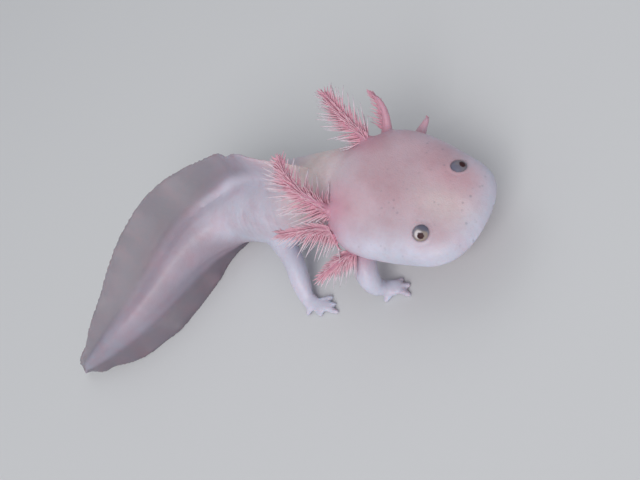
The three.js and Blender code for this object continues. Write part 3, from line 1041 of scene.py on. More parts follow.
@dataclass(frozen=True)
class Relief:
    """Low swellings and hollows of the head: bells, each with its place, width and height."""

    mounds: tuple[tuple[Point, float, float], ...] = (
        ((4.0, 9.0, 7.0), 7.0, 0.35),
        ((22.0, 0.0, 7.0), 6.0, -0.30),
        ((30.0, 4.0, 5.0), 4.0, 0.18),
        ((-4.0, 0.0, 8.5), 5.0, -0.35),
        ((24.5, 9.95, 6.0), 4.2, 0.30),
        ((13.0, 16.0, 1.5), 6.0, 0.25),
    )

    def height(self, p: Array) -> Array:
        """Sums the bells, each repeated on the head's other side.

        Args:
            p: Points in the head's frame.

        Returns:
            How far each is lifted.
        """
        total = np.zeros(len(p))
        for (x, y, z), width, height in self.mounds:
            for side in (1, -1) if y else (1,):
                total += height * bell(distance(p, (x, y * side, z)), width)
        return total


@dataclass
class Skin:
    """The whole animal's skin: one seamless surface from snout to tail tip.

    mouth is the height of the mouth's line by its place in the head's frame, and lips are its
    folds, each with its height over the line, its swelling and its width. grooves gives where
    the flanks' grooves start and end and how far apart they are. The pink patches of the head are
    given each with its place, width and strength; the stronger ones on its left side, away from the
    key light, are painted shade of that side as well as pink.
    """

    head: HeadForm
    spine: Spine
    gills: tuple[GillForm, ...]
    eyes: tuple["Eye", ...]
    voxel: float = 0.56
    fillet_rounds: int = 60
    nape_rounds: int = 240
    nape_ends: tuple[float, float] = (-4.5, 26.0)
    relief: Relief = Relief()
    mouth: Curve = Curve(((13, 0.0), (15, -1.2), (20, -2.4), (27, -2.0), (33, -1.3), (42, -1.1)))
    mouth_corner: float = 14.2
    lips: tuple[Point, ...] = ((1.0, 0.22, 0.8), (-0.9, 0.14, 0.7), (0.0, -0.62, 0.34))
    nostril: Point = (35.4, 5.2, -0.2)
    nostril_depth: float = 0.55
    nostril_width: float = 0.42
    throat_depth: float = 0.35
    grooves: Point = (20.0, 62.0, 3.6)
    groove_depth: float = 0.16
    # Pink patches of the head; the stronger ones at positive y, on its left side away from the key
    # light, are painted shade as well as pink.
    flushes_and_shade: tuple[tuple[float, ...], ...] = (
        (9, 0.5, 8.0, 0.42), (16, -5.0, 5.0, 0.2), (2, -12, 6.0, 0.3), (1, 8, 6.0, 0.25),
        (24, 6.5, 6.0, 0.45), (17, 14, 7.0, 0.45), (7, 17, 5.0, 0.4), (30, 5, 3.5, 0.2),
    )

    def nape(self) -> Shell:
        """The muscle over the back of the skull.

        Returns:
            A straight run of rings from one just inside the head to one just inside the trunk.
        """
        x, s = (np.array([end]) for end in self.nape_ends)
        wide, high, deep = self.head.half(x)
        sizes = wide * 0.93, high * 0.97, deep * 0.95
        first = rings(self.head.frames(x), *sizes, self.head.power, 64)[0]
        sizes = (half * 0.985 for half in self.spine.half(s))
        last = rings(self.spine.frames(s), *sizes, self.head.power, 64)[0]
        share = np.linspace(0, 1, 24)[:, None, None]
        return Shell.tube(first * (1 - share) + last * share)

    def form(self) -> Shell:
        """Fuses the forms, fills the creases where they meet and evens out the surface.

        The creases are filled most behind the head, where the gills' broad roots run into it.
        The thin fins are evened out most.

        Returns:
            The skin before its finer detail.
        """
        shells = [
            self.head.shell(),
            self.nape(),
            self.spine.muscle(),
            FinForm(Side.BACK, 13, self.spine).shell(),
            FinForm(Side.UNDER, 67, self.spine).shell(),
        ]
        for leg in LEGS:
            shells += leg.shells()
        shells += [gill.shell() for gill in self.gills]
        shell = fused(Shell.joined(shells), self.voxel)
        fine = tips_gap(shell.points)
        places = Places.of(shell.points, self.head, self.spine, self.gills)
        fin = ease(places.muscle, 1.1, 1.4) * ease(places.s, 18, 24) * ease(places.leg, 0.5, 2.5)
        fin = fin * ease(places.gill, 0.5, 2.0)
        strength = (0.04 + 0.46 * ease(fine, 0.5, 4.0)) * (1 - 0.8 * fin)
        relaxer = Relaxer(shell)
        relaxer.even(2)
        relaxer.fillet(self.fillet_rounds, strength)
        back = bell(places.head[:, 0] + 4, 7) * (1 - ease(places.s, 18, 26))
        relaxer.fillet(self.nape_rounds, 0.5 * back * (places.gill > -0.5))
        relaxer.even(6, 0.2 + 0.3 * ease(fine, 0.0, 3.0))
        relaxer.even(20, 0.5 * fin)
        for _ in range(2):
            self.fair(shell, places, fin)
            relaxer.even(12, 0.5 * fin)
        return shell

    def fair(self, shell: Shell, places: Places, fin: Array) -> None:
        """Lays the fins' edges on their own curves.

        The highest point over each short length of the line is found, and every height over the
        muscle there is scaled by the wanted height over the found one.

        Args:
            shell: The skin, which is changed.
            places: Where its points were.
            fin: 1 on the thin fins and 0 elsewhere.
        """
        frames = self.spine.frames(places.s)
        along = ((shell.points - frames.point) * frames.up).sum(1)
        last = int(self.spine.tail_tip / self.spine.step) + 6
        index = np.round(places.s / self.spine.step).astype(int)
        for side in Side:
            muscle, edge = FinForm(side, 0, self.spine).reach(places.s)
            over = along * side.value - muscle
            share = ease(over / (edge - muscle), 0.1, 0.6) * fin * (1 - ease(places.s, 150, 154))
            found = np.zeros(last)
            np.maximum.at(found, index[share > 0.5], over[share > 0.5])
            for reach in (1, 2):
                found = np.maximum(found, np.maximum(np.roll(found, reach), np.roll(found, -reach)))
            found = np.convolve(found, np.full(9, 1 / 9), "same")
            found = np.interp(places.s, np.arange(last) * self.spine.step, found)
            scale = np.clip((edge - muscle) / np.maximum(found, 0.3), 0.85, 1.2) - 1
            shell.points += (over * scale * share * side.value)[:, None] * frames.up

    def refine(self, shell: Shell) -> Shell:
        """Splits the faces near the eyes, the mouth and the nostrils, for their finer detail.

        Args:
            shell: The skin.

        Returns:
            The finer skin.
        """
        p = self.head.into(shell.points)
        near = np.abs(p[:, 2] - self.mouth(p[:, 0])) < 1.6
        near &= p[:, 0] > self.mouth_corner - 2
        near |= distance(p, self.nostril_at(p)) < 2.0
        for eye in self.eyes:
            near |= distance(shell.points, eye.centre) < eye.radius + 1.7
        return split(shell, near)

    def nostril_at(self, p: Array) -> Array:
        """The nostril on each point's own side of the head."""
        x, y, z = self.nostril
        return np.stack([np.full(len(p), x), np.where(p[:, 1] < 0, -y, y), np.full(len(p), z)], -1)

    def sculpt(self, shell: Shell, places: Places) -> None:
        """Moves points along their normals for folds, lips, nostrils and grooves.

        Args:
            shell: The refined skin, which is changed.
            places: Where its points are.
        """
        p = places.head
        normal = shell.normals()
        on_head = ease(p[:, 0], -6, -2)
        lift = self.relief.height(p) * on_head
        lip = ease(p[:, 0], self.mouth_corner - 1.0, self.mouth_corner + 2.0)
        gap = p[:, 2] - self.mouth(p[:, 0])
        lift += lip * sum(swell * bell(gap - over, width) for over, swell, width in self.lips)
        pit = distance(p, self.nostril_at(p))
        lift -= self.nostril_depth * bell(pit, self.nostril_width)
        throat = (p[:, 2] < -2) * bell(p[:, 0] - 1.5 + 0.02 * p[:, 1] ** 2, 0.7)
        lift -= self.throat_depth * throat * (places.gill > 1) * on_head
        shell.points += (lift + self.costal(places))[:, None] * normal

    def costal(self, places: Places) -> Array:
        """Shallow upright grooves along the flanks: a cosine's narrow valleys, slanted a little.

        Args:
            places: Where the skin's points are.

        Returns:
            How far each point is lifted, below 0 in a groove.
        """
        first, last, step = self.grooves
        at = (places.s - first + 0.12 * places.along) / step
        valley = np.clip(np.cos(2 * np.pi * at), 0, 1) ** 4
        flank = ease(places.s, first - 1, first + 5) * (1 - ease(places.s, last - 4, last))
        flank = flank * (1 - ease(np.abs(places.along) / 10, 0.55, 0.95)) * ease(places.leg, 0.5, 3)
        return -self.groove_depth * valley * flank * (places.muscle < 1.25)

    def clear(self, lines: Array) -> Array:
        """Moves the parts of filaments that would enter the body out to just over its surface.

        Args:
            lines: Lines by points by three, each starting inside its stalk.

        Returns:
            The lines, whose points inside the muscle or the head are scaled out of it.
        """
        points = lines.reshape(-1, 3).copy()
        margin, least = 1.05, 0.2
        places = Places.of(points, self.head, self.spine, self.gills)
        frames = self.spine.frames(places.s)
        inside = (places.muscle < margin) & (places.s > 8)
        scale = np.where(inside, margin / np.maximum(places.muscle, least), 1) - 1
        points += (places.across * scale)[:, None] * frames.left
        points += (places.along * scale)[:, None] * frames.up
        p = self.head.into(points)
        width, top, bottom = self.head.half(p[:, 0])
        deep = np.where(p[:, 2] > 0, top, bottom)
        power = self.head.power
        share = (np.abs(p[:, 1] / width) ** power + np.abs(p[:, 2] / deep) ** power) ** (1 / power)
        inside = (share < margin) & (p[:, 0] > self.head.back) & (p[:, 0] < self.head.tip)
        p[:, 1:] *= np.where(inside, margin / np.maximum(share, least), 1)[:, None]
        moved = self.head.out(p)
        moved[:, 2] = np.maximum(moved[:, 2], FLOOR_GAP)
        moved = moved.reshape(lines.shape)
        settle = ease(np.linspace(0, 1, lines.shape[1]), 0.0, 0.35)[None, :, None]
        return lines * (1 - settle) + moved * settle

    def marks(self, points: Array, places: Places) -> dict[str, Array]:
        """Where each tint of the skin lies, as values from 0 to 1 at its points.

        In the order of the values: the thin skin of the fins, which on the tail also reaches down
        over the muscle's upper shoulder as painted shade on a lit ridge; rose, the blood-rich gill
        stalks and their roots; the pink of the head, with stronger patches on its left side as
        painted shade; the pale yellow of the snout and of the nape, brighter on the nape as painted
        light where the gills' shadow falls; cool, the bluish white of the jaw, flanks and legs; the
        greyer end of the tail, partly its own grey and partly painted shade, with painted shade on
        the lower flanks and the hind legs darker near the floor; freckled, the part that carries
        small grey dots; and the darker skin round the eyes, partly its own tint and partly painted
        shade in their crease.

        Args:
            points: The skin's points.
            places: Where the points are.

        Returns:
            The values by name.
        """
        p = places.head
        limb = 1 - ease(places.leg, -0.5, 1.5)
        on_head = ease(p[:, 0], -7, 1) * ease(places.gill, 0.3, 1.5)
        _, over, under = self.spine.half(places.s)
        s, above = places.s, places.along > 0
        past = np.abs(places.along) - np.where(above, over, under)
        fin = np.where(above, self.spine.back_fin(s), self.spine.under_fin(s))
        # On the tail the fins' grey is shifted down over the muscle's upper shoulder, as painted
        # shade that dims a lit ridge there.
        on_tail = ease(s, 60, 84)
        membrane_and_shade = ease(past / np.maximum(fin, 1.0) + 0.15 * on_tail, 0.05, 0.5 + 0.04 * on_tail)
        membrane_and_shade = membrane_and_shade * (1 - limb) * ease(places.gill, 0.5, 1.5)
        membrane_and_shade = membrane_and_shade * (0.5 * ease(s, 24, 48) + 0.5 * ease(s, 44, 74))
        # The tail grows greyer towards its end, partly its own grey and partly painted shade;
        # painted shade is also laid on the lower flanks, and the hind legs are darker near the
        # floor.
        dusk_and_shade = 0.6 * ease(s, 58, 98) + 0.4 * ease(s, 104, 150)
        dusk_and_shade = dusk_and_shade + 0.3 * ease(-places.along / 10, 0.0, 0.9) * ease(s, 44, 66) * (1 - limb)
        dusk_and_shade = np.maximum(dusk_and_shade, 0.5 * limb * (s > 50) * (1 - ease(points[:, 2], 2, 9)))
        top = ease(p[:, 2], -1, 5)
        # Pink of the head; the stronger patches on its left side, away from the key light, are
        # painted shade as well.
        flush_and_shade = sum(
            strength * bell(np.hypot(p[:, 0] - x, p[:, 1] - y), width)
            for x, y, width, strength in self.flushes_and_shade
        )
        # Over the top of the nape the pale yellow is partly its own tint and partly painted light
        # that brightens it where the gills' shadow falls.
        nape = 0.85 * bell(s - 14, 8) * ease(places.along, -3, 7)
        cream_and_painted_light = 0.55 * bell(np.hypot((p[:, 0] - 26) / 1.5, p[:, 1] + 1), 5.5) * top
        cream_and_painted_light = cream_and_painted_light + nape * ease(places.gill, 0.2, 2.0)
        side = ease(np.abs(p[:, 1]) / self.head.width(p[:, 0]), 0.55, 1.0) * on_head
        low = 0.8 * ease(-places.along / 9, -0.1, 0.8) * ease(s, 5, 20)
        snout = ease(p[:, 0], 29, 36)
        trunk = 0.75 * ease(s, 16, 40)
        # Darker skin round each eye, partly its own tint and partly painted shade in the crease
        # round it.
        lid_and_shade = np.zeros(len(points))
        for eye in self.eyes:
            gap = distance(points, eye.centre) - eye.radius
            lid_and_shade = np.maximum(lid_and_shade, 1 - ease(gap, -0.1, 0.6))
        marks = {
            "membrane_and_shade": membrane_and_shade,
            "rose": places.rose,
            "flush_and_shade": flush_and_shade * top * on_head,
            "cream_and_painted_light": cream_and_painted_light,
            "cool": np.maximum(side + snout + limb, trunk + low),
            "dusk_and_shade": dusk_and_shade,
            "freckled": on_head * top * ease(p[:, 0], 4, 12),
            "lid_and_shade": lid_and_shade,
        }
        return {name: np.clip(values, 0, 1) for name, values in marks.items()}

    def piece(self) -> bpy.types.Object:
        """Builds the skin as one piece that stands for every node of flesh.

        Returns:
            The new object.
        """
        shell = self.refine(self.form())
        shell.rest()
        places = Places.of(shell.points, self.head, self.spine, self.gills)
        self.sculpt(shell, places)
        for eye in self.eyes:
            shell.points = eye.seat(shell.points)
        shell.rest()
        return make_piece("skin", shell, self.marks(shell.points, places))


def tips_gap(points: Array) -> Array:
    """Distance from each point to the nearest hand or foot, less the size of its palm.

    Args:
        points: Points in the model's frame.

    Returns:
        One distance for each point.
    """
    gap = np.full(len(points), np.inf)
    for leg in LEGS:
        for tip in leg.tips:
            for share in (0.25, 0.6, 1.0):
                centre = np.array(leg.palm) * (1 - share) + tip * share
                gap = np.minimum(gap, distance(points, centre) - PALM_SIZE)
    return gap


def split(shell: Shell, near: Array) -> Shell:
    """Splits into four each quad whose corners are all near, and fans the quads beside them.

    Args:
        shell: A shell of quads.
        near: For each point, whether it is near a fine detail.

    Returns:
        The finer shell. A quad with some split edges becomes triangles round its middle.
    """
    quads = shell.quads
    inner = near[quads].all(1)
    sides = np.stack([quads, np.roll(quads, -1, axis=1)], -1)
    keys = np.sort(sides, axis=-1).astype(np.int64)
    keys = keys[..., 0] * len(shell.points) + keys[..., 1]
    cut = np.unique(keys[inner])
    place = np.clip(np.searchsorted(cut, keys), 0, max(len(cut) - 1, 0))
    is_cut = cut[place] == keys
    middles = np.stack([cut // len(shell.points), cut % len(shell.points)], -1)
    edge_points = shell.points[middles].mean(1)
    touched = is_cut.any(1)
    centres = shell.points[quads[touched]].mean(1)
    first_edge = len(shell.points)
    first_centre = first_edge + len(edge_points)
    centre_of = np.full(len(quads), -1)
    centre_of[touched] = first_centre + np.arange(touched.sum())
    edge_of = np.where(is_cut, first_edge + place, -1)
    new_quads = [quads[~touched]]
    triangles = [shell.triangles]
    for i in range(4):
        before = (i + 3) % 4
        corner, centre = quads[:, i], centre_of
        new_quads.append(np.stack([corner, edge_of[:, i], centre, edge_of[:, before]], -1)[inner])
        partly = touched & ~inner
        whole = partly & ~is_cut[:, i]
        halved = partly & is_cut[:, i]
        after = quads[:, (i + 1) % 4]
        triangles.append(np.stack([corner, after, centre], -1)[whole])
        triangles.append(np.stack([corner, edge_of[:, i], centre], -1)[halved])
        triangles.append(np.stack([edge_of[:, i], after, centre], -1)[halved])
    points = np.concatenate([shell.points, edge_points, centres])
    return Shell(points, np.concatenate(new_quads), np.concatenate(triangles))


# ------------------------------------------------------------------ eyes

@dataclass(frozen=True)
class Eye:
    """A round eye in its socket.

    The socket faces out of the head along axis, and the pupil looks along gaze. A painted white
    glint, standing for a reflection, lies about its own direction towards the back, by the share
    pale, and a painted shade, standing for the shadow over the eye, lies about a direction up and
    towards the head's middle; where pale is low, that shade covers most of the eye. opening is the
    socket's half width, and rim the height of the low rim round it.
    """

    node: str
    centre: Array
    radius: float
    axis: Array
    gaze: Array
    rear: Array
    brow_shade: Array
    pale: float
    opening: float = 2.02
    rim: float = 0.10

    @classmethod
    def of(cls, node: str, head: HeadForm, side: int) -> "Eye":
        """Takes an eye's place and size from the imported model.

        Args:
            node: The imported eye's name.
            head: The head's form, whose frame the directions are given in.
            side: 1 for the left eye and -1 for the right one.

        Returns:
            The eye.
        """
        low, high = (np.array(corner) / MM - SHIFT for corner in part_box(node))
        # The left eye's low pale share keeps its painted glint faint and lays painted shade over
        # most of it.
        gaze, pale = ((0.49, 0.36, 0.80), 0.15) if side > 0 else ((0.33, -0.58, 0.74), 1.0)
        # back is the way of the painted glint, and over that of the painted shade over the eye.
        socket, back, over = (
            (0.12, 0.30 * side, 0.95), (0.05, 0.55 * side, 0.84), (0.15, -0.55 * side, 0.82)
        )
        axis, gaze, rear, brow_shade = (
            head.turn @ unit(np.array(way)) for way in (socket, gaze, back, over)
        )
        size = float((high - low).max() / 2)
        return cls(node, (low + high) / 2, size, axis, gaze, rear, brow_shade, pale)

    def seat(self, points: Array) -> Array:
        """Moves skin near the eye under the ball inside the opening, and up over a low rim round
        it. Heights are measured along the socket's axis.

        Args:
            points: Points of the skin in the model's frame.

        Returns:
            The moved points.
        """
        offset = points - self.centre
        height = offset @ self.axis
        from_axis = distance(offset, height[:, None] * self.axis)
        near = (from_axis < self.radius + 2.0) & (height > -0.5)
        under = np.sqrt(np.maximum(self.radius**2 - from_axis**2, 0.2)) - 0.55
        outside = ease(from_axis, self.opening - 0.12, self.opening + 0.12)
        rim = self.rim * bell(from_axis - self.opening - 0.35, 0.45)
        crease = 0.05 * bell(from_axis - self.opening - 1.1, 0.4)
        wanted = under * (1 - outside) + (height + rim - crease) * outside
        return points + np.where(near, wanted - height, 0)[:, None] * self.axis

    def piece(self) -> bpy.types.Object:
        """The eyeball: a sphere with a slight bulge over the pupil.

        Its rings run round the gaze, at angles from 0 to pi. Each point keeps the angle over pi
        as the attribute look, for the iris and pupil, and two more attributes: a painted white
        glint towards the back, standing for a reflection, and a painted shade over the eye's upper,
        inner side, standing for the shadow over it.

        Returns:
            The eye as a new object.
        """
        angle = np.linspace(0.01, np.pi - 0.01, 72)
        side = unit(np.cross(self.gaze, UP))
        up = np.cross(side, self.gaze)
        size = self.radius * (0.985 + 0.015 * bell(angle, 0.55))
        frames = Frames(
            self.centre + (np.cos(angle) * size)[:, None] * self.gaze,
            np.tile(side, (len(angle), 1)),
            np.tile(up, (len(angle), 1)),
        )
        round_part = np.sin(angle) * size
        shell = Shell.tube(rings(frames, round_part, round_part, round_part, 2, 64))
        away = unit(shell.points - self.centre)
        look = np.arccos(np.clip(away @ self.gaze, -1, 1)) / np.pi
        return make_piece(self.node + "_ball", shell, {
            "look": look,
            # Painted glint: a white patch towards the back that stands for a reflection.
            "rear": self.pale * ease(away @ self.rear, 0.84, 0.965),
            # Painted shade over the eye's upper, inner side, and over most of an eye whose pale
            # share is low.
            "brow_shade": np.maximum(ease(away @ self.brow_shade, 0.66, 0.86), 0.9 * (1 - self.pale)),
        })


# ------------------------------------------------------------------ gill filaments

@dataclass(frozen=True)
class Row:
    """A row of filaments along a stalk, from the place start to its tip.

    They aim one way at its root and another at its tip, in the model's frame, and turn from one
    to the other by the power turning of the way. Their length follows a curve of the place.
    lean is how much of the stalk's own direction is added to their aim, so that they lie along it.
    """

    root_aim: Array
    tip_aim: Array
    length: Curve
    count: int
    start: float
    lean: float = 0.0
    turning: float = 1.6


@dataclass(frozen=True)
class Plume:
    """All the filaments of one gill, as one mesh of thin tapered tubes.

    thick and thin are the tubes' radii at root and tip. A filament as long as fades_over or
    longer pales fully at its tip, and a shorter one less.
    """

    form: GillForm
    rows: tuple[Row, ...]
    order: int
    thick: float = 0.27
    thin: float = 0.10
    fades_over: float = 6.0
    rings_each: int = 8
    sides: int = 5
    stray: float = 0.09
    bend: float = 0.12
    droop: float = 0.10
    patch: float = 0.003

    def centres(self, skin: "Skin") -> tuple[Array, Array, Array, Array]:
        """The middle lines of the filaments.

        A line leaves the stalk along its aim, with a small random stray, and bends towards the
        stalk's own direction and down by the square of the way along. Where it would enter the
        body it lies on it.

        Args:
            skin: The skin that the filaments keep clear of.

        Returns:
            Lines by points by three, and for each line the place of its root along the stalk,
            the place round it, and how much it pales.
        """
        rng = np.random.default_rng(SEED + self.order)
        u = np.linspace(0, 1, self.rings_each)[None, :, None]
        lines, roots, turns, pale = [], [], [], []
        for i, row in enumerate(self.rows):
            place = np.arange(row.count) + rng.uniform(0.15, 0.85, row.count)
            t = row.start + (1 - row.start) * place / row.count
            share = t[:, None] ** row.turning
            aim = row.root_aim * (1 - share) + row.tip_aim * share
            forward = self.form.path.along(t)
            stray = rng.normal(0, self.stray, (row.count, 3))
            aim = unit(unit(aim) + row.lean * forward + stray)
            length = row.length(t) * rng.uniform(0.8, 1.08, row.count)
            base = self.form.path.at(t) + aim * (self.form.radius(t) * 0.55)[:, None]
            bend = forward * self.bend - np.array(UP) * self.droop
            bend = bend + rng.normal(0, 0.06, (row.count, 3))
            pale.append(np.clip(length / self.fades_over, 0, 1))
            length = length[:, None, None]
            lines.append(base[:, None] + aim[:, None] * length * u + bend[:, None] * length * u**2)
            roots.append(t)
            turns.append(np.full(row.count, (i + 0.5) / len(self.rows)))
        line = np.concatenate(lines)
        return skin.clear(line), np.concatenate(roots), np.concatenate(turns), np.concatenate(pale)

    def piece(self, skin: "Skin") -> bpy.types.Object:
        """The filaments as a piece that stands for its packed gill.

        Args:
            skin: The skin that they grow from.

        Returns:
            The new object, with the attribute out from 0 at a root to 1 at a long one's tip.
        """
        line, root, turn, pale = self.centres(skin)
        along = unit(np.gradient(line, axis=1))
        side = unit(np.cross(along, (0.31, 0.17, 0.93)))
        up = np.cross(along, side)
        u = np.linspace(0, 1, self.rings_each)
        radius = (self.thick + (self.thin - self.thick) * u) * np.where(u == 1, 0.5, 1)
        angle = np.arange(self.sides) * 2 * np.pi / self.sides
        ring = (
            side[:, :, None] * np.cos(angle)[:, None] + up[:, :, None] * np.sin(angle)[:, None]
        ) * radius[:, None, None]
        grid = line[:, :, None] + ring
        shell = Shell.joined([Shell.tube(one) for one in grid])
        out = np.concatenate([np.repeat(u, self.sides), (0.0, 1.0)])
        marks = {"out": (pale[:, None] * out).ravel()}
        piece = make_piece("filaments_" + self.form.name, shell, marks)
        self.bake_map(piece, root, turn, u)
        return piece

    def bake_map(self, piece: bpy.types.Object, root: Array, turn: Array, u: Array) -> None:
        """Gives each filament a small patch of the bake map, at its root's place on its stalk.

        The stalks lie side by side in the map, each unrolled with its length across and the way
        round it upwards.

        Args:
            piece: The filaments.
            root: Each filament's place along the stalk.
            turn: Each filament's place round the stalk, from 0 to 1.
            u: The places of a filament's rings.
        """
        round_tube = np.tile(np.arange(self.sides) / self.sides, len(u))
        ring_u = np.concatenate([np.repeat(u, self.sides), (0.0, 1.0)]) - 0.5
        ring_v = np.concatenate([round_tube, (0.5, 0.5)]) - 0.5
        at_u = 0.05 + 0.9 * (self.order + 0.1 + 0.8 * root) / 6
        at_v = 0.1 + 0.8 * turn
        spot = np.stack([
            (at_u[:, None] + self.patch * ring_u).ravel(),
            (at_v[:, None] + self.patch * ring_v).ravel(),
        ], -1)
        mesh = piece.data
        corners = np.empty(len(mesh.loops), np.int32)
        mesh.loops.foreach_get("vertex_index", corners)
        layer = mesh.uv_layers.new(name="OFBake")
        layer.uv.foreach_set("vector", spot[corners].astype(np.float32).ravel())


# ------------------------------------------------------------------ pieces

def make_piece(name: str, shell: Shell, marks: dict[str, Array]) -> bpy.types.Object:
    """Makes a finished piece in metres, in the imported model's own frame.

    Args:
        name: The piece's name.
        shell: Its surface in millimetres, before the model is centred.
        marks: Values kept at the points for the material, by name.

    Returns:
        The object, at the origin.
    """
    moved = Shell(shell.points + SHIFT, shell.quads, shell.triangles)
    mesh = moved.mesh(name, MM)
    for mark, values in marks.items():
        layer = mesh.attributes.new(mark, "FLOAT", "POINT")
        layer.data.foreach_set("value", np.asarray(values, np.float32))
    return linked(name, mesh)


# ------------------------------------------------------------------ materials

Colour = tuple[float, float, float]


@dataclass
class Graph:
    """Adds nodes to a material's or a group's tree, and links them."""

    tree: bpy.types.NodeTree

    def feed(self, socket: bpy.types.NodeSocket, value: object) -> None:
        """Links a socket to another, or sets it to a number or a colour.

        Args:
            socket: The socket that is fed.
            value: What feeds it.
        """
        if isinstance(value, bpy.types.NodeSocket):
            self.tree.links.new(value, socket)
        elif socket.type == "RGBA":
            socket.default_value = (*value, 1.0)
        else:
            socket.default_value = value

    def node(self, kind: str, **values: object) -> bpy.types.Node:
        """Adds a node.

        Args:
            kind: The node's type, such as ShaderNodeMath.
            **values: Sockets by name, with underscores for spaces, or the node's own settings.

        Returns:
            The node.
        """
        node = self.tree.nodes.new(kind)
        for name, value in values.items():
            socket = node.inputs.get(name.replace("_", " "))
            if socket is None:
                setattr(node, name, value)
            else:
                self.feed(socket, value)
        return node

    def mark(self, name: str) -> bpy.types.NodeSocket:
        """Reads a value kept at the piece's points."""
        return self.node("ShaderNodeAttribute", attribute_name=name).outputs["Fac"]

    def math(self, operation: str, *values: object) -> bpy.types.NodeSocket:
        """Works out one value from others.

        Args:
            operation: The Math node's operation.
            *values: What it works on.

        Returns:
            The value.
        """
        node = self.node("ShaderNodeMath", operation=operation)
        for socket, value in zip(node.inputs, values):
            self.feed(socket, value)
        return node.outputs[0]

    def product(self, *values: object) -> bpy.types.NodeSocket:
        """Multiplies two values."""
        return self.math("MULTIPLY", *values)

    def span(
        self, value: object, low: float, high: float, start: float = 0.0, end: float = 1.0
    ) -> bpy.types.NodeSocket:
        """Maps low to high onto start to end, smoothly and held at both ends.

        Args:
            value: What is mapped.
            low: Its value at the start.
            high: Its value at the end.
            start: What low becomes.
            end: What high becomes.

        Returns:
            The mapped value.
        """
        node = self.node(
            "ShaderNodeMapRange", interpolation_type="SMOOTHSTEP", Value=value, From_Min=low,
            From_Max=high, To_Min=start, To_Max=end,
        )
        return node.outputs["Result"]

    def mix(self, share: object, first: object, second: object) -> bpy.types.NodeSocket:
        """Mixes two colours.

        Args:
            share: How much of the second shows.
            first: The colour at a share of 0.
            second: The colour at a share of 1.

        Returns:
            The mixed colour.
        """
        node = self.node("ShaderNodeMix", data_type="RGBA")
        for index, value in ((0, share), (6, first), (7, second)):
            self.feed(node.inputs[index], value)
        return node.outputs[2]

    def noise(self, place: object, scale: float, detail: float = 3.0) -> bpy.types.NodeSocket:
        """A noise value near a half, from 0 to 1."""
        node = self.node("ShaderNodeTexNoise", Vector=place, Scale=scale, Detail=detail)
        return node.outputs["Fac"]

    def place(self) -> bpy.types.NodeSocket:
        """Where a point is on the piece."""
        return self.node("ShaderNodeTexCoord").outputs["Object"]

    def scaled(self, vector: object, by: object) -> bpy.types.NodeSocket:
        """Multiplies a place or a colour by a number.

        Args:
            vector: The place or colour.
            by: The number.

        Returns:
            The product.
        """
        node = self.node("ShaderNodeVectorMath", operation="SCALE")
        self.feed(node.inputs[0], vector)
        self.feed(node.inputs["Scale"], by)
        return node.outputs[0]


def living_tone() -> bpy.types.NodeTree:
    """Makes the shared effect of living skin: soft cloudy patches in which more or less blood
    shows, and a fine damp grain.

    Returns:
        A group from Tone, Blood, Amount and Scale to Color and Height.
    """
    group = bpy.data.node_groups.new("living tone", "ShaderNodeTree")
    for name, kind, value in (
        ("Tone", "NodeSocketColor", (0.8, 0.7, 0.7, 1)),
        ("Blood", "NodeSocketColor", (0.7, 0.3, 0.3, 1)),
        ("Amount", "NodeSocketFloat", 0.2),
        ("Scale", "NodeSocketFloat", 1.0),
    ):
        socket = group.interface.new_socket(name, in_out="INPUT", socket_type=kind)
        socket.default_value = value
    group.interface.new_socket("Color", in_out="OUTPUT", socket_type="NodeSocketColor")
    group.interface.new_socket("Height", in_out="OUTPUT", socket_type="NodeSocketFloat")
    graph = Graph(group)
    given = graph.node("NodeGroupInput").outputs
    place = graph.scaled(graph.place(), given["Scale"])
    cloud = graph.span(graph.noise(place, 170, 4), 0.42, 0.70)
    speckle = graph.span(graph.noise(place, 1100, 2), 0.50, 0.78)
    patches = graph.math("ADD", cloud, graph.product(speckle, 0.5))
    tone = graph.mix(graph.product(patches, given["Amount"]), given["Tone"], given["Blood"])
    pale = graph.span(graph.noise(place, 90), 0.35, 0.65, 0.94, 1.05)
    fine, coarse = graph.noise(place, 2600), graph.noise(place, 600)
    graph.node(
        "NodeGroupOutput",
        Color=graph.scaled(tone, pale),
        Height=graph.math("ADD", fine, graph.product(coarse, 1.2)),
    )
    return group


@dataclass
class Finish:
    """A surface: a Principled shader and what feeds it, with the living tone's group if it is
    flesh."""

    name: str
    group: bpy.types.NodeTree | None = None
    material: bpy.types.Material = field(init=False)
    graph: Graph = field(init=False)
    shader: bpy.types.Node = field(init=False)

    def __post_init__(self) -> None:
        """Starts the material with its shader."""
        self.material = bpy.data.materials.new(self.name)
        self.material.use_nodes = True
        self.graph = Graph(self.material.node_tree)
        self.shader = self.material.node_tree.nodes["Principled BSDF"]

    def set(self, **values: object) -> None:
        """Sets or links the shader's sockets, with underscores for spaces in their names."""
        for name, value in values.items():
            self.graph.feed(self.shader.inputs[name.replace("_", " ")], value)

    def tone(
        self, tone: object, blood: Colour, amount: float, scale: float = 1.0
    ) -> bpy.types.Node:
        """Places the shared living tone in this material.

        Args:
            tone: The skin's own colour.
            blood: The colour where more blood shows.
            amount: How much of it shows.
            scale: How fine the patches are.

        Returns:
            The group's node.
        """
        node = self.graph.node("ShaderNodeGroup", node_tree=self.group)
        for name, value in (("Tone", tone), ("Blood", blood), ("Amount", amount), ("Scale", scale)):
            self.graph.feed(node.inputs[name], value)
        return node

    def bump(self, height: bpy.types.NodeSocket, depth: float) -> None:
        """Feeds a height into the shader's normal, at a depth in metres."""
        node = self.graph.node("ShaderNodeBump", Strength=1.0, Distance=depth, Height=height)
        self.set(Normal=node.outputs["Normal"])


def linear(red: int, green: int, blue: int) -> Colour:
    """Turns a colour's display values into the shader's linear ones: a small share is divided by
    12.92, and above 0.04045 it is shifted and raised to the power 2.4.

    Args:
        red: From 0 to 255, as are the others.
        green: The second value.
        blue: The third value.

    Returns:
        The linear values, from 0 to 1.
    """
    shares = (channel / 255 for channel in (red, green, blue))
    return tuple(c / 12.92 if c <= 0.04045 else ((c + 0.055) / 1.055) ** 2.4 for c in shares)


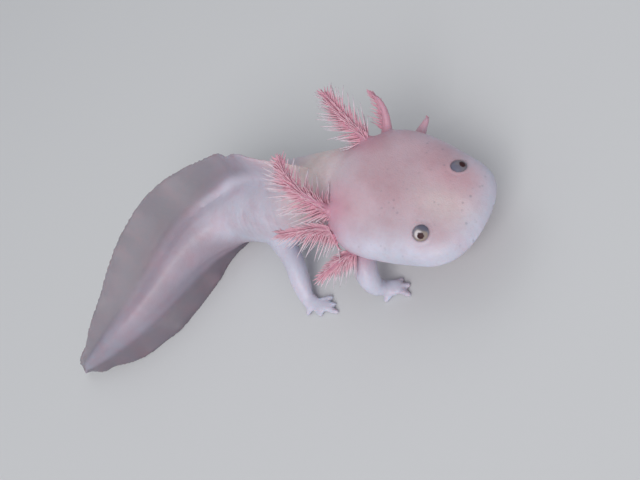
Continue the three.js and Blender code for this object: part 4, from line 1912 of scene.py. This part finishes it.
@dataclass(frozen=True)
class SkinFinish:
    """Damp pale skin: pink and pale yellow over a cool white, greyer on the tail, with thin grey
    fins and rosy gills. Painted light brightens the nape; painted shade darkens the tail, the lower
    flanks, the head's left side, the crease round the eyes and the tail's muscle shoulder under
    the fins.

    The tail greys in two stages, each partly its own grey and partly painted shade, blood shows
    in patches, and thin is how solid the fins are.
    """

    flesh: Colour = linear(202, 182, 194)
    cool: Colour = linear(203, 203, 220)
    # The tail's two greys, partly its own tint and partly painted shade.
    dusk_and_shade: Colour = linear(170, 157, 172)
    smoke_and_shade: Colour = linear(152, 150, 166)
    # Pale yellow, brighter than the skin's own, and painted light where it lies on the nape.
    cream_and_painted_light: Colour = linear(230, 214, 212)
    # Pink, partly painted shade where it is laid on the head's left side.
    flush_and_shade: Colour = linear(192, 140, 150)
    rose: Colour = linear(198, 136, 158)
    # Fin grey, also laid on the tail's muscle shoulder as painted shade.
    membrane_and_shade: Colour = linear(124, 112, 128)
    blood: Colour = linear(178, 116, 128)
    freckle: Colour = linear(112, 112, 128)
    # Darker skin round the eyes, partly painted shade of the crease.
    lid_and_shade: Colour = linear(150, 134, 146)
    thin: float = 0.5

    def dress(self, piece: bpy.types.Object, group: bpy.types.NodeTree) -> None:
        """Makes the skin's material and puts it on the piece.

        Args:
            piece: The skin.
            group: The living tone.
        """
        finish = Finish("skin", group)
        graph = finish.graph
        dusk_and_shade = graph.mark("dusk_and_shade")
        tone = self.flesh
        # The pale yellow carries painted light on the nape; the pink, the tail's greys, the fins'
        # grey and the eye-round tint carry painted shade as well as their own colour.
        for share, tint in (
            (graph.mark("cool"), self.cool),
            (graph.mark("cream_and_painted_light"), self.cream_and_painted_light),
            (graph.mark("flush_and_shade"), self.flush_and_shade),
            (graph.span(dusk_and_shade, 0.0, 0.6), self.dusk_and_shade),
            (graph.span(dusk_and_shade, 0.6, 1.0), self.smoke_and_shade),
            (graph.mark("membrane_and_shade"), self.membrane_and_shade),
            (graph.mark("rose"), self.rose),
            (graph.mark("lid_and_shade"), self.lid_and_shade),
        ):
            tone = graph.mix(share, tone, tint)
        living = finish.tone(tone, self.blood, 0.17)
        place = graph.place()
        dots = graph.node("ShaderNodeTexVoronoi", Vector=place, Scale=760.0, Randomness=1.0)
        dot = graph.span(dots.outputs["Distance"], 0.10, 0.40, 1.0, 0.0)
        draw = graph.node("ShaderNodeSeparateColor", Color=dots.outputs["Color"]).outputs[0]
        patch = graph.span(graph.noise(place, 210.0, 2.0), 0.45, 0.62)
        speck = graph.product(graph.product(dot, graph.span(draw, 0.45, 0.6)), patch)
        speck = graph.product(speck, graph.product(graph.mark("freckled"), 0.34))
        finish.set(
            Base_Color=graph.mix(speck, living.outputs["Color"], self.freckle),
            Roughness=graph.span(living.outputs["Height"], 0.8, 1.5, 0.42, 0.56),
            Subsurface_Weight=0.35,
            Subsurface_Radius=(1.0, 0.42, 0.34),
            Subsurface_Scale=0.0022,
            Coat_Weight=0.12,
            Coat_Roughness=0.3,
            Alpha=graph.span(graph.mark("membrane_and_shade"), 0.15, 1.0, 1.0, self.thin),
        )
        finish.bump(living.outputs["Height"], 0.00007)
        piece.data.materials.append(finish.material)


@dataclass(frozen=True)
class FilamentFinish:
    """Fine gill threads: rosy where they leave the stalk and pale and thin at their tips."""

    root: Colour = linear(210, 148, 168)
    middle: Colour = linear(220, 174, 188)
    tip: Colour = linear(230, 220, 229)

    def dress(self, piece: bpy.types.Object, group: bpy.types.NodeTree) -> None:
        """Makes the filaments' material and puts it on the piece.

        Args:
            piece: A gill's filaments.
            group: The living tone.
        """
        finish = Finish(piece.name, group)
        graph = finish.graph
        out = graph.mark("out")
        tone = graph.mix(graph.span(out, 0.05, 0.45), self.root, self.middle)
        tone = graph.mix(graph.span(out, 0.38, 0.80), tone, self.tip)
        living = finish.tone(tone, self.root, 0.3, 3.0)
        finish.set(
            Base_Color=living.outputs["Color"],
            Roughness=0.38,
            Subsurface_Weight=0.15,
            Subsurface_Radius=(1.0, 0.5, 0.5),
            Subsurface_Scale=0.0004,
            Alpha=graph.span(out, 0.5, 1.0, 1.0, 0.7),
        )
        piece.data.materials.append(finish.material)


@dataclass(frozen=True)
class EyeFinish:
    """A wet eye: a brown pupil, a tan ring with a painted white glint towards the back, and a grey
    surround with painted shade over its upper, inner side."""

    # The painted glint's colour, standing for a reflection.
    white: Colour = linear(216, 208, 212)
    tan: Colour = linear(158, 142, 130)
    pupil: Colour = linear(62, 36, 40)
    surround: Colour = linear(136, 134, 148)
    shade: Colour = linear(104, 104, 122)

    def dress(self, piece: bpy.types.Object) -> None:
        """Makes the eye's material and puts it on the piece.

        Args:
            piece: An eyeball.
        """
        finish = Finish(piece.name)
        graph = finish.graph
        look = graph.mark("look")
        place = graph.place()
        wander = graph.span(graph.noise(place, 2400.0), 0.3, 0.7, -0.012, 0.012)
        ragged = graph.math("ADD", look, wander)
        mottle = graph.span(graph.noise(place, 1500.0, 4.0), 0.35, 0.7)
        iris = graph.mix(graph.product(mottle, 0.35), self.tan, self.surround)
        around = graph.mix(graph.span(ragged, 0.20, 0.30), iris, self.surround)
        # Painted glint towards the back, then painted shade over the upper, inner side.
        around = graph.mix(graph.mark("rear"), around, self.white)
        around = graph.mix(graph.product(graph.mark("brow_shade"), 0.9), around, self.shade)
        finish.set(
            Base_Color=graph.mix(graph.span(ragged, 0.09, 0.135), self.pupil, around),
            Roughness=graph.span(mottle, 0.0, 1.0, 0.36, 0.46),
            Specular_IOR_Level=0.14,
        )
        piece.data.materials.append(finish.material)


@dataclass(frozen=True)
class FloorFinish:
    """A plain pale floor with a faint cloudiness."""

    tone: Colour = linear(214, 215, 217)

    def dress(self, floor: bpy.types.Object) -> None:
        """Makes the floor's material and puts it on the floor.

        Args:
            floor: The floor.
        """
        finish = Finish("floor")
        graph = finish.graph
        rough = graph.span(graph.noise(graph.place(), 6.0), 0.3, 0.7, 0.82, 0.92)
        finish.set(Base_Color=self.tone, Roughness=rough, Specular_IOR_Level=0.2)
        floor.data.materials.append(finish.material)


# ------------------------------------------------------------------ the stage

@dataclass(frozen=True)
class Stage:
    """The floor, the light and the camera.

    The camera looks at aim, in millimetres, from distance metres back along the direction back.
    """

    floor_size: float = 24.0
    distance: float = 0.236
    aim: Point = (24.55, 2.37, 12.0)
    back: Point = (0.657, -0.3945, 0.643)
    right: Point = (0.753, 0.297, -0.587)
    lens: float = 45.34

    def build(self) -> None:
        """Makes everything that isn't the animal."""
        self.floor()
        self.lights()
        self.camera()

    def floor(self) -> None:
        """A wide level square."""
        half = self.floor_size / 2
        corners = np.array(((-half, -half, 0), (half, -half, 0), (half, half, 0), (-half, half, 0)))
        square = Shell(corners, np.array(((0, 1, 2, 3),)), np.empty((0, 3), int))
        floor = linked("floor", square.mesh("floor"))
        FloorFinish().dress(floor)

    def lights(self) -> None:
        """A broad soft key from low in front, a wide fill from above and an even pale sky."""
        self.light("key", (0.75, -1.45, 1.25), 1.3, 26.0, (1.0, 0.99, 0.975))
        self.light("fill", (-0.9, 1.1, 1.9), 1.8, 6.0, (0.95, 0.97, 1.0))
        world = bpy.data.worlds.new("studio")
        world.use_nodes = True
        sky = world.node_tree.nodes["Background"]
        sky.inputs["Color"].default_value = (0.86, 0.88, 0.92, 1.0)
        sky.inputs["Strength"].default_value = 0.45
        bpy.context.scene.world = world
        bpy.context.scene.view_settings.view_transform = "Standard"

    def light(self, name: str, place: Point, size: float, power: float, colour: Colour) -> None:
        """Adds a square area light that faces the animal.

        Args:
            name: The light's name.
            place: Where it stands, in metres.
            size: The length of its sides.
            power: Its power in watts.
            colour: Its colour.
        """
        data = bpy.data.lights.new(name, "AREA")
        data.size, data.energy, data.color = size, power, colour
        away = unit(np.array(place) - (0, 0, 0.02))
        side = unit(np.cross(UP, away))
        linked(name, data).matrix_world = placed(side, np.cross(away, side), away, place)

    def camera(self) -> None:
        """A camera above the floor that looks down the animal's length from its right front."""
        data = bpy.data.cameras.new("camera")
        data.lens, data.sensor_width = self.lens, 36.0
        data.clip_start = 0.005
        camera = linked("camera", data)
        back = unit(np.array(self.back))
        up = unit(np.cross(back, self.right))
        place = np.array(self.aim) * MM + back * self.distance
        camera.matrix_world = placed(np.cross(up, back), up, back, place)
        bpy.context.scene.camera = camera


def placed(x: Array, y: Array, z: Array, at: Array | Point) -> Matrix:
    """Places an object.

    Args:
        x: The direction of its own first axis.
        y: That of its second.
        z: That of its third.
        at: Where it is.

    Returns:
        Its matrix.
    """
    matrix = np.eye(4)
    matrix[:3, :3] = np.stack([x, y, z], -1)
    matrix[:3, 3] = at
    return Matrix(matrix)


# ------------------------------------------------------------------ the animal

@dataclass(frozen=True)
class Comb:
    """Lays the gills' rows of filaments, by aims in the head's frame.

    Each full gill has two fans that hang behind and below its stalk, and a sparser one above.
    """

    head: HeadForm
    close: Knots = ((0, 2.4), (0.4, 3.6), (1, 2.4))

    def row(self, root: Point, tip: Point, length: Knots, *rest: float) -> Row:
        """One row, with its aims at the stalk's root and tip, and the rest of its fields."""
        return Row(self.head.turn @ root, self.head.turn @ tip, Curve(length), *rest)

    def fan(
        self, root: Point, tip: Point, count: int, length: Knots, start: float = 0.12
    ) -> tuple[Row, ...]:
        """A row of long filaments, and a denser row of ones half as long at their roots.

        Args:
            root: Their aim at the stalk's root.
            tip: Their aim at its tip.
            count: How many long ones there are.
            length: Their length by their place along the stalk.
            start: The place of the first.

        Returns:
            The two rows.
        """
        short = tuple((place, 0.5 * reach) for place, reach in length)
        return (
            self.row(root, tip, length, count, start),
            self.row(root, tip, short, int(1.6 * count), start),
        )

    def cover(self, root: Point, tip: Point, count: int) -> tuple[Row, ...]:
        """Short filaments that lie along the stalk and cover it."""
        return (self.row(root, tip, self.close, count, 0.06, 1.6),)

    def right(self) -> dict[str, tuple[Row, ...]]:
        """Combs the right side's gills.

        Returns:
            Their rows, by the gill's name.
        """
        fan, cover = self.fan, self.cover
        long = ((0, 7.4), (0.3, 10.8), (0.55, 9.6), (0.8, 6.6), (1, 3.0))
        middle = ((0, 5.2), (0.3, 7.6), (0.7, 6.8), (1, 3.2))
        low = ((0, 4.8), (0.5, 6.4), (1, 3.4))
        above = ((0, 4.6), (0.3, 7.4), (0.7, 6.2), (1, 2.6))
        behind = ((0, 2.4), (0.5, 3.6), (1, 2.0))
        return {
            "upper_right": (
                *fan((-0.66, -0.75, -0.07), (-0.80, 0.30, 0.52), 26, long),
                *fan((-0.61, -0.70, -0.37), (-0.98, 0.05, 0.20), 24, long),
                *fan((-0.40, 0.89, 0.23), (-0.13, 0.87, 0.48), 15, above),
                *cover((0.1, -0.8, 0.6), (-0.5, -0.2, 0.8), 46),
                *cover((0.2, 0.1, 1.0), (-0.2, 0.3, 0.9), 46),
                *cover((0.1, 0.8, 0.5), (-0.1, 0.8, 0.5), 40),
            ),
            "middle_right": (
                *fan((0.18, -0.81, -0.55), (-0.72, -0.67, 0.18), 26, middle),
                *fan((-0.15, -0.69, -0.71), (-0.96, -0.04, 0.28), 22, middle),
                *fan((-0.92, 0.14, -0.36), (-0.95, 0.0, 0.3), 12, behind),
                *cover((0.1, -0.6, 0.7), (-0.3, -0.6, 0.7), 44),
                *cover((0.2, 0.3, 0.9), (-0.2, 0.3, 0.9), 44),
                *cover((0.6, -0.7, 0.1), (-0.2, -0.9, 0.1), 36),
            ),
            "lower_right": (
                *fan((0.23, -0.74, -0.63), (-0.34, -0.93, -0.17), 24, low),
                *fan((-0.19, -0.59, -0.79), (-0.76, -0.63, -0.17), 20, low),
                *cover((0.6, 0.3, 0.7), (0.3, 0.3, 0.8), 40),
                *cover((0.9, -0.4, 0.2), (0.7, -0.6, 0.2), 36),
                *cover((-0.5, 0.4, 0.7), (-0.6, 0.3, 0.7), 32),
            ),
        }

    def left(self) -> dict[str, tuple[Row, ...]]:
        """Combs the left side's gills, which are shorter towards the lower one.

        Returns:
            Their rows, by the gill's name.
        """
        fan, cover = self.fan, self.cover
        upper = ((0, 6.4), (0.3, 8.8), (0.6, 7.2), (0.85, 5.0), (1, 2.6))
        above = ((0, 6.6), (0.4, 8.2), (0.8, 5.6), (1, 2.4))
        below = ((0, 4.0), (0.5, 5.0), (1, 2.0))
        first = ((0, 4.6), (0.4, 4.2), (1, 1.8))
        second = ((0, 3.6), (0.4, 3.6), (1, 1.6))
        third = ((0, 4.0), (0.5, 4.4), (1, 1.6))
        shorter = ((0, 1.8), (0.4, 2.6), (1, 1.8))
        stub = ((0, 3.0), (0.6, 3.0), (1, 1.2))
        far_stub = ((0, 1.6), (0.5, 1.6), (1, 1.0))
        return {
            "upper_left": (
                *fan((-0.76, -0.66, 0.02), (-0.80, 0.30, 0.52), 26, upper),
                *fan((-0.93, -0.31, -0.19), (-0.94, 0.13, 0.31), 22, upper),
                *fan((-0.45, 0.72, 0.53), (-0.23, 0.74, 0.63), 22, above),
                *fan((-0.5, 0.55, -0.6), (-0.6, 0.6, -0.2), 16, below),
                *cover((0.2, -0.7, 0.7), (-0.3, -0.6, 0.7), 44),
                *cover((0.3, 0.1, 0.9), (-0.1, 0.1, 0.9), 44),
            ),
            "middle_left": (
                *fan((-0.93, -0.11, 0.35), (-0.91, 0.06, 0.41), 18, first, 0.2),
                *fan((-0.83, 0.40, -0.10), (-0.80, 0.45, 0.25), 14, second, 0.2),
                *fan((-0.6, 0.5, -0.62), (-0.6, 0.55, -0.5), 14, third, 0.2),
                *Comb(self.head, shorter).cover((-0.7, -0.4, 0.5), (-0.7, -0.4, 0.5), 34),
            ),
            "lower_left": (
                *fan((-0.5, 0.3, -0.8), (-0.5, 0.45, -0.72), 10, stub, 0.35),
                *fan((-0.83, 0.45, -0.3), (-0.58, 0.7, -0.2), 6, far_stub, 0.45),
            ),
        }


@dataclass
class Axolotl:
    """The whole animal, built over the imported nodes."""

    nodes: Sequence[str]
    head: HeadForm = HeadForm()
    spine: Spine = Spine()

    def keep(self, piece: bpy.types.Object, stands_for: Sequence[str]) -> None:
        """Ties a piece to the body, hides the nodes that it stands for and reports it.

        Args:
            piece: The finished piece.
            stands_for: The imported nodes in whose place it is.
        """
        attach(piece, BODY)
        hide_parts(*stands_for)
        faces = sum(polygon.loop_total - 2 for polygon in piece.data.polygons)
        log.info("%s: %d triangles, in the place of %s", piece.name, faces, ", ".join(stands_for))

    def build(self) -> None:
        """Makes the eyes, the skin and the gills' filaments."""
        group = living_tone()
        eyes = (Eye.of("eye_right", self.head, -1), Eye.of("eye_left", self.head, 1))
        gills = gill_forms(self.head)
        skin = Skin(self.head, self.spine, gills, eyes)
        for eye in eyes:
            ball = eye.piece()
            EyeFinish().dress(ball)
            self.keep(ball, [eye.node])
        body = skin.piece()
        SkinFinish().dress(body, group)
        flesh = [name for name in self.nodes if not name.startswith(("eye_", "gill_"))]
        self.keep(body, flesh)
        comb = Comb(self.head)
        rows = comb.right() | comb.left()
        for order, form in enumerate(gills):
            filaments = Plume(form, rows[form.name], order).piece(skin)
            FilamentFinish().dress(filaments, group)
            self.keep(filaments, ["gill_" + form.name])


def main() -> None:
    """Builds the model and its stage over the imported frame."""
    logging.basicConfig(level=logging.INFO, format="%(name)s: %(message)s")
    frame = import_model()
    Axolotl(sorted(frame["nodes"])).build()
    Stage().build()
    bpy.context.view_layer.update()


if __name__ == "__main__":
    main()
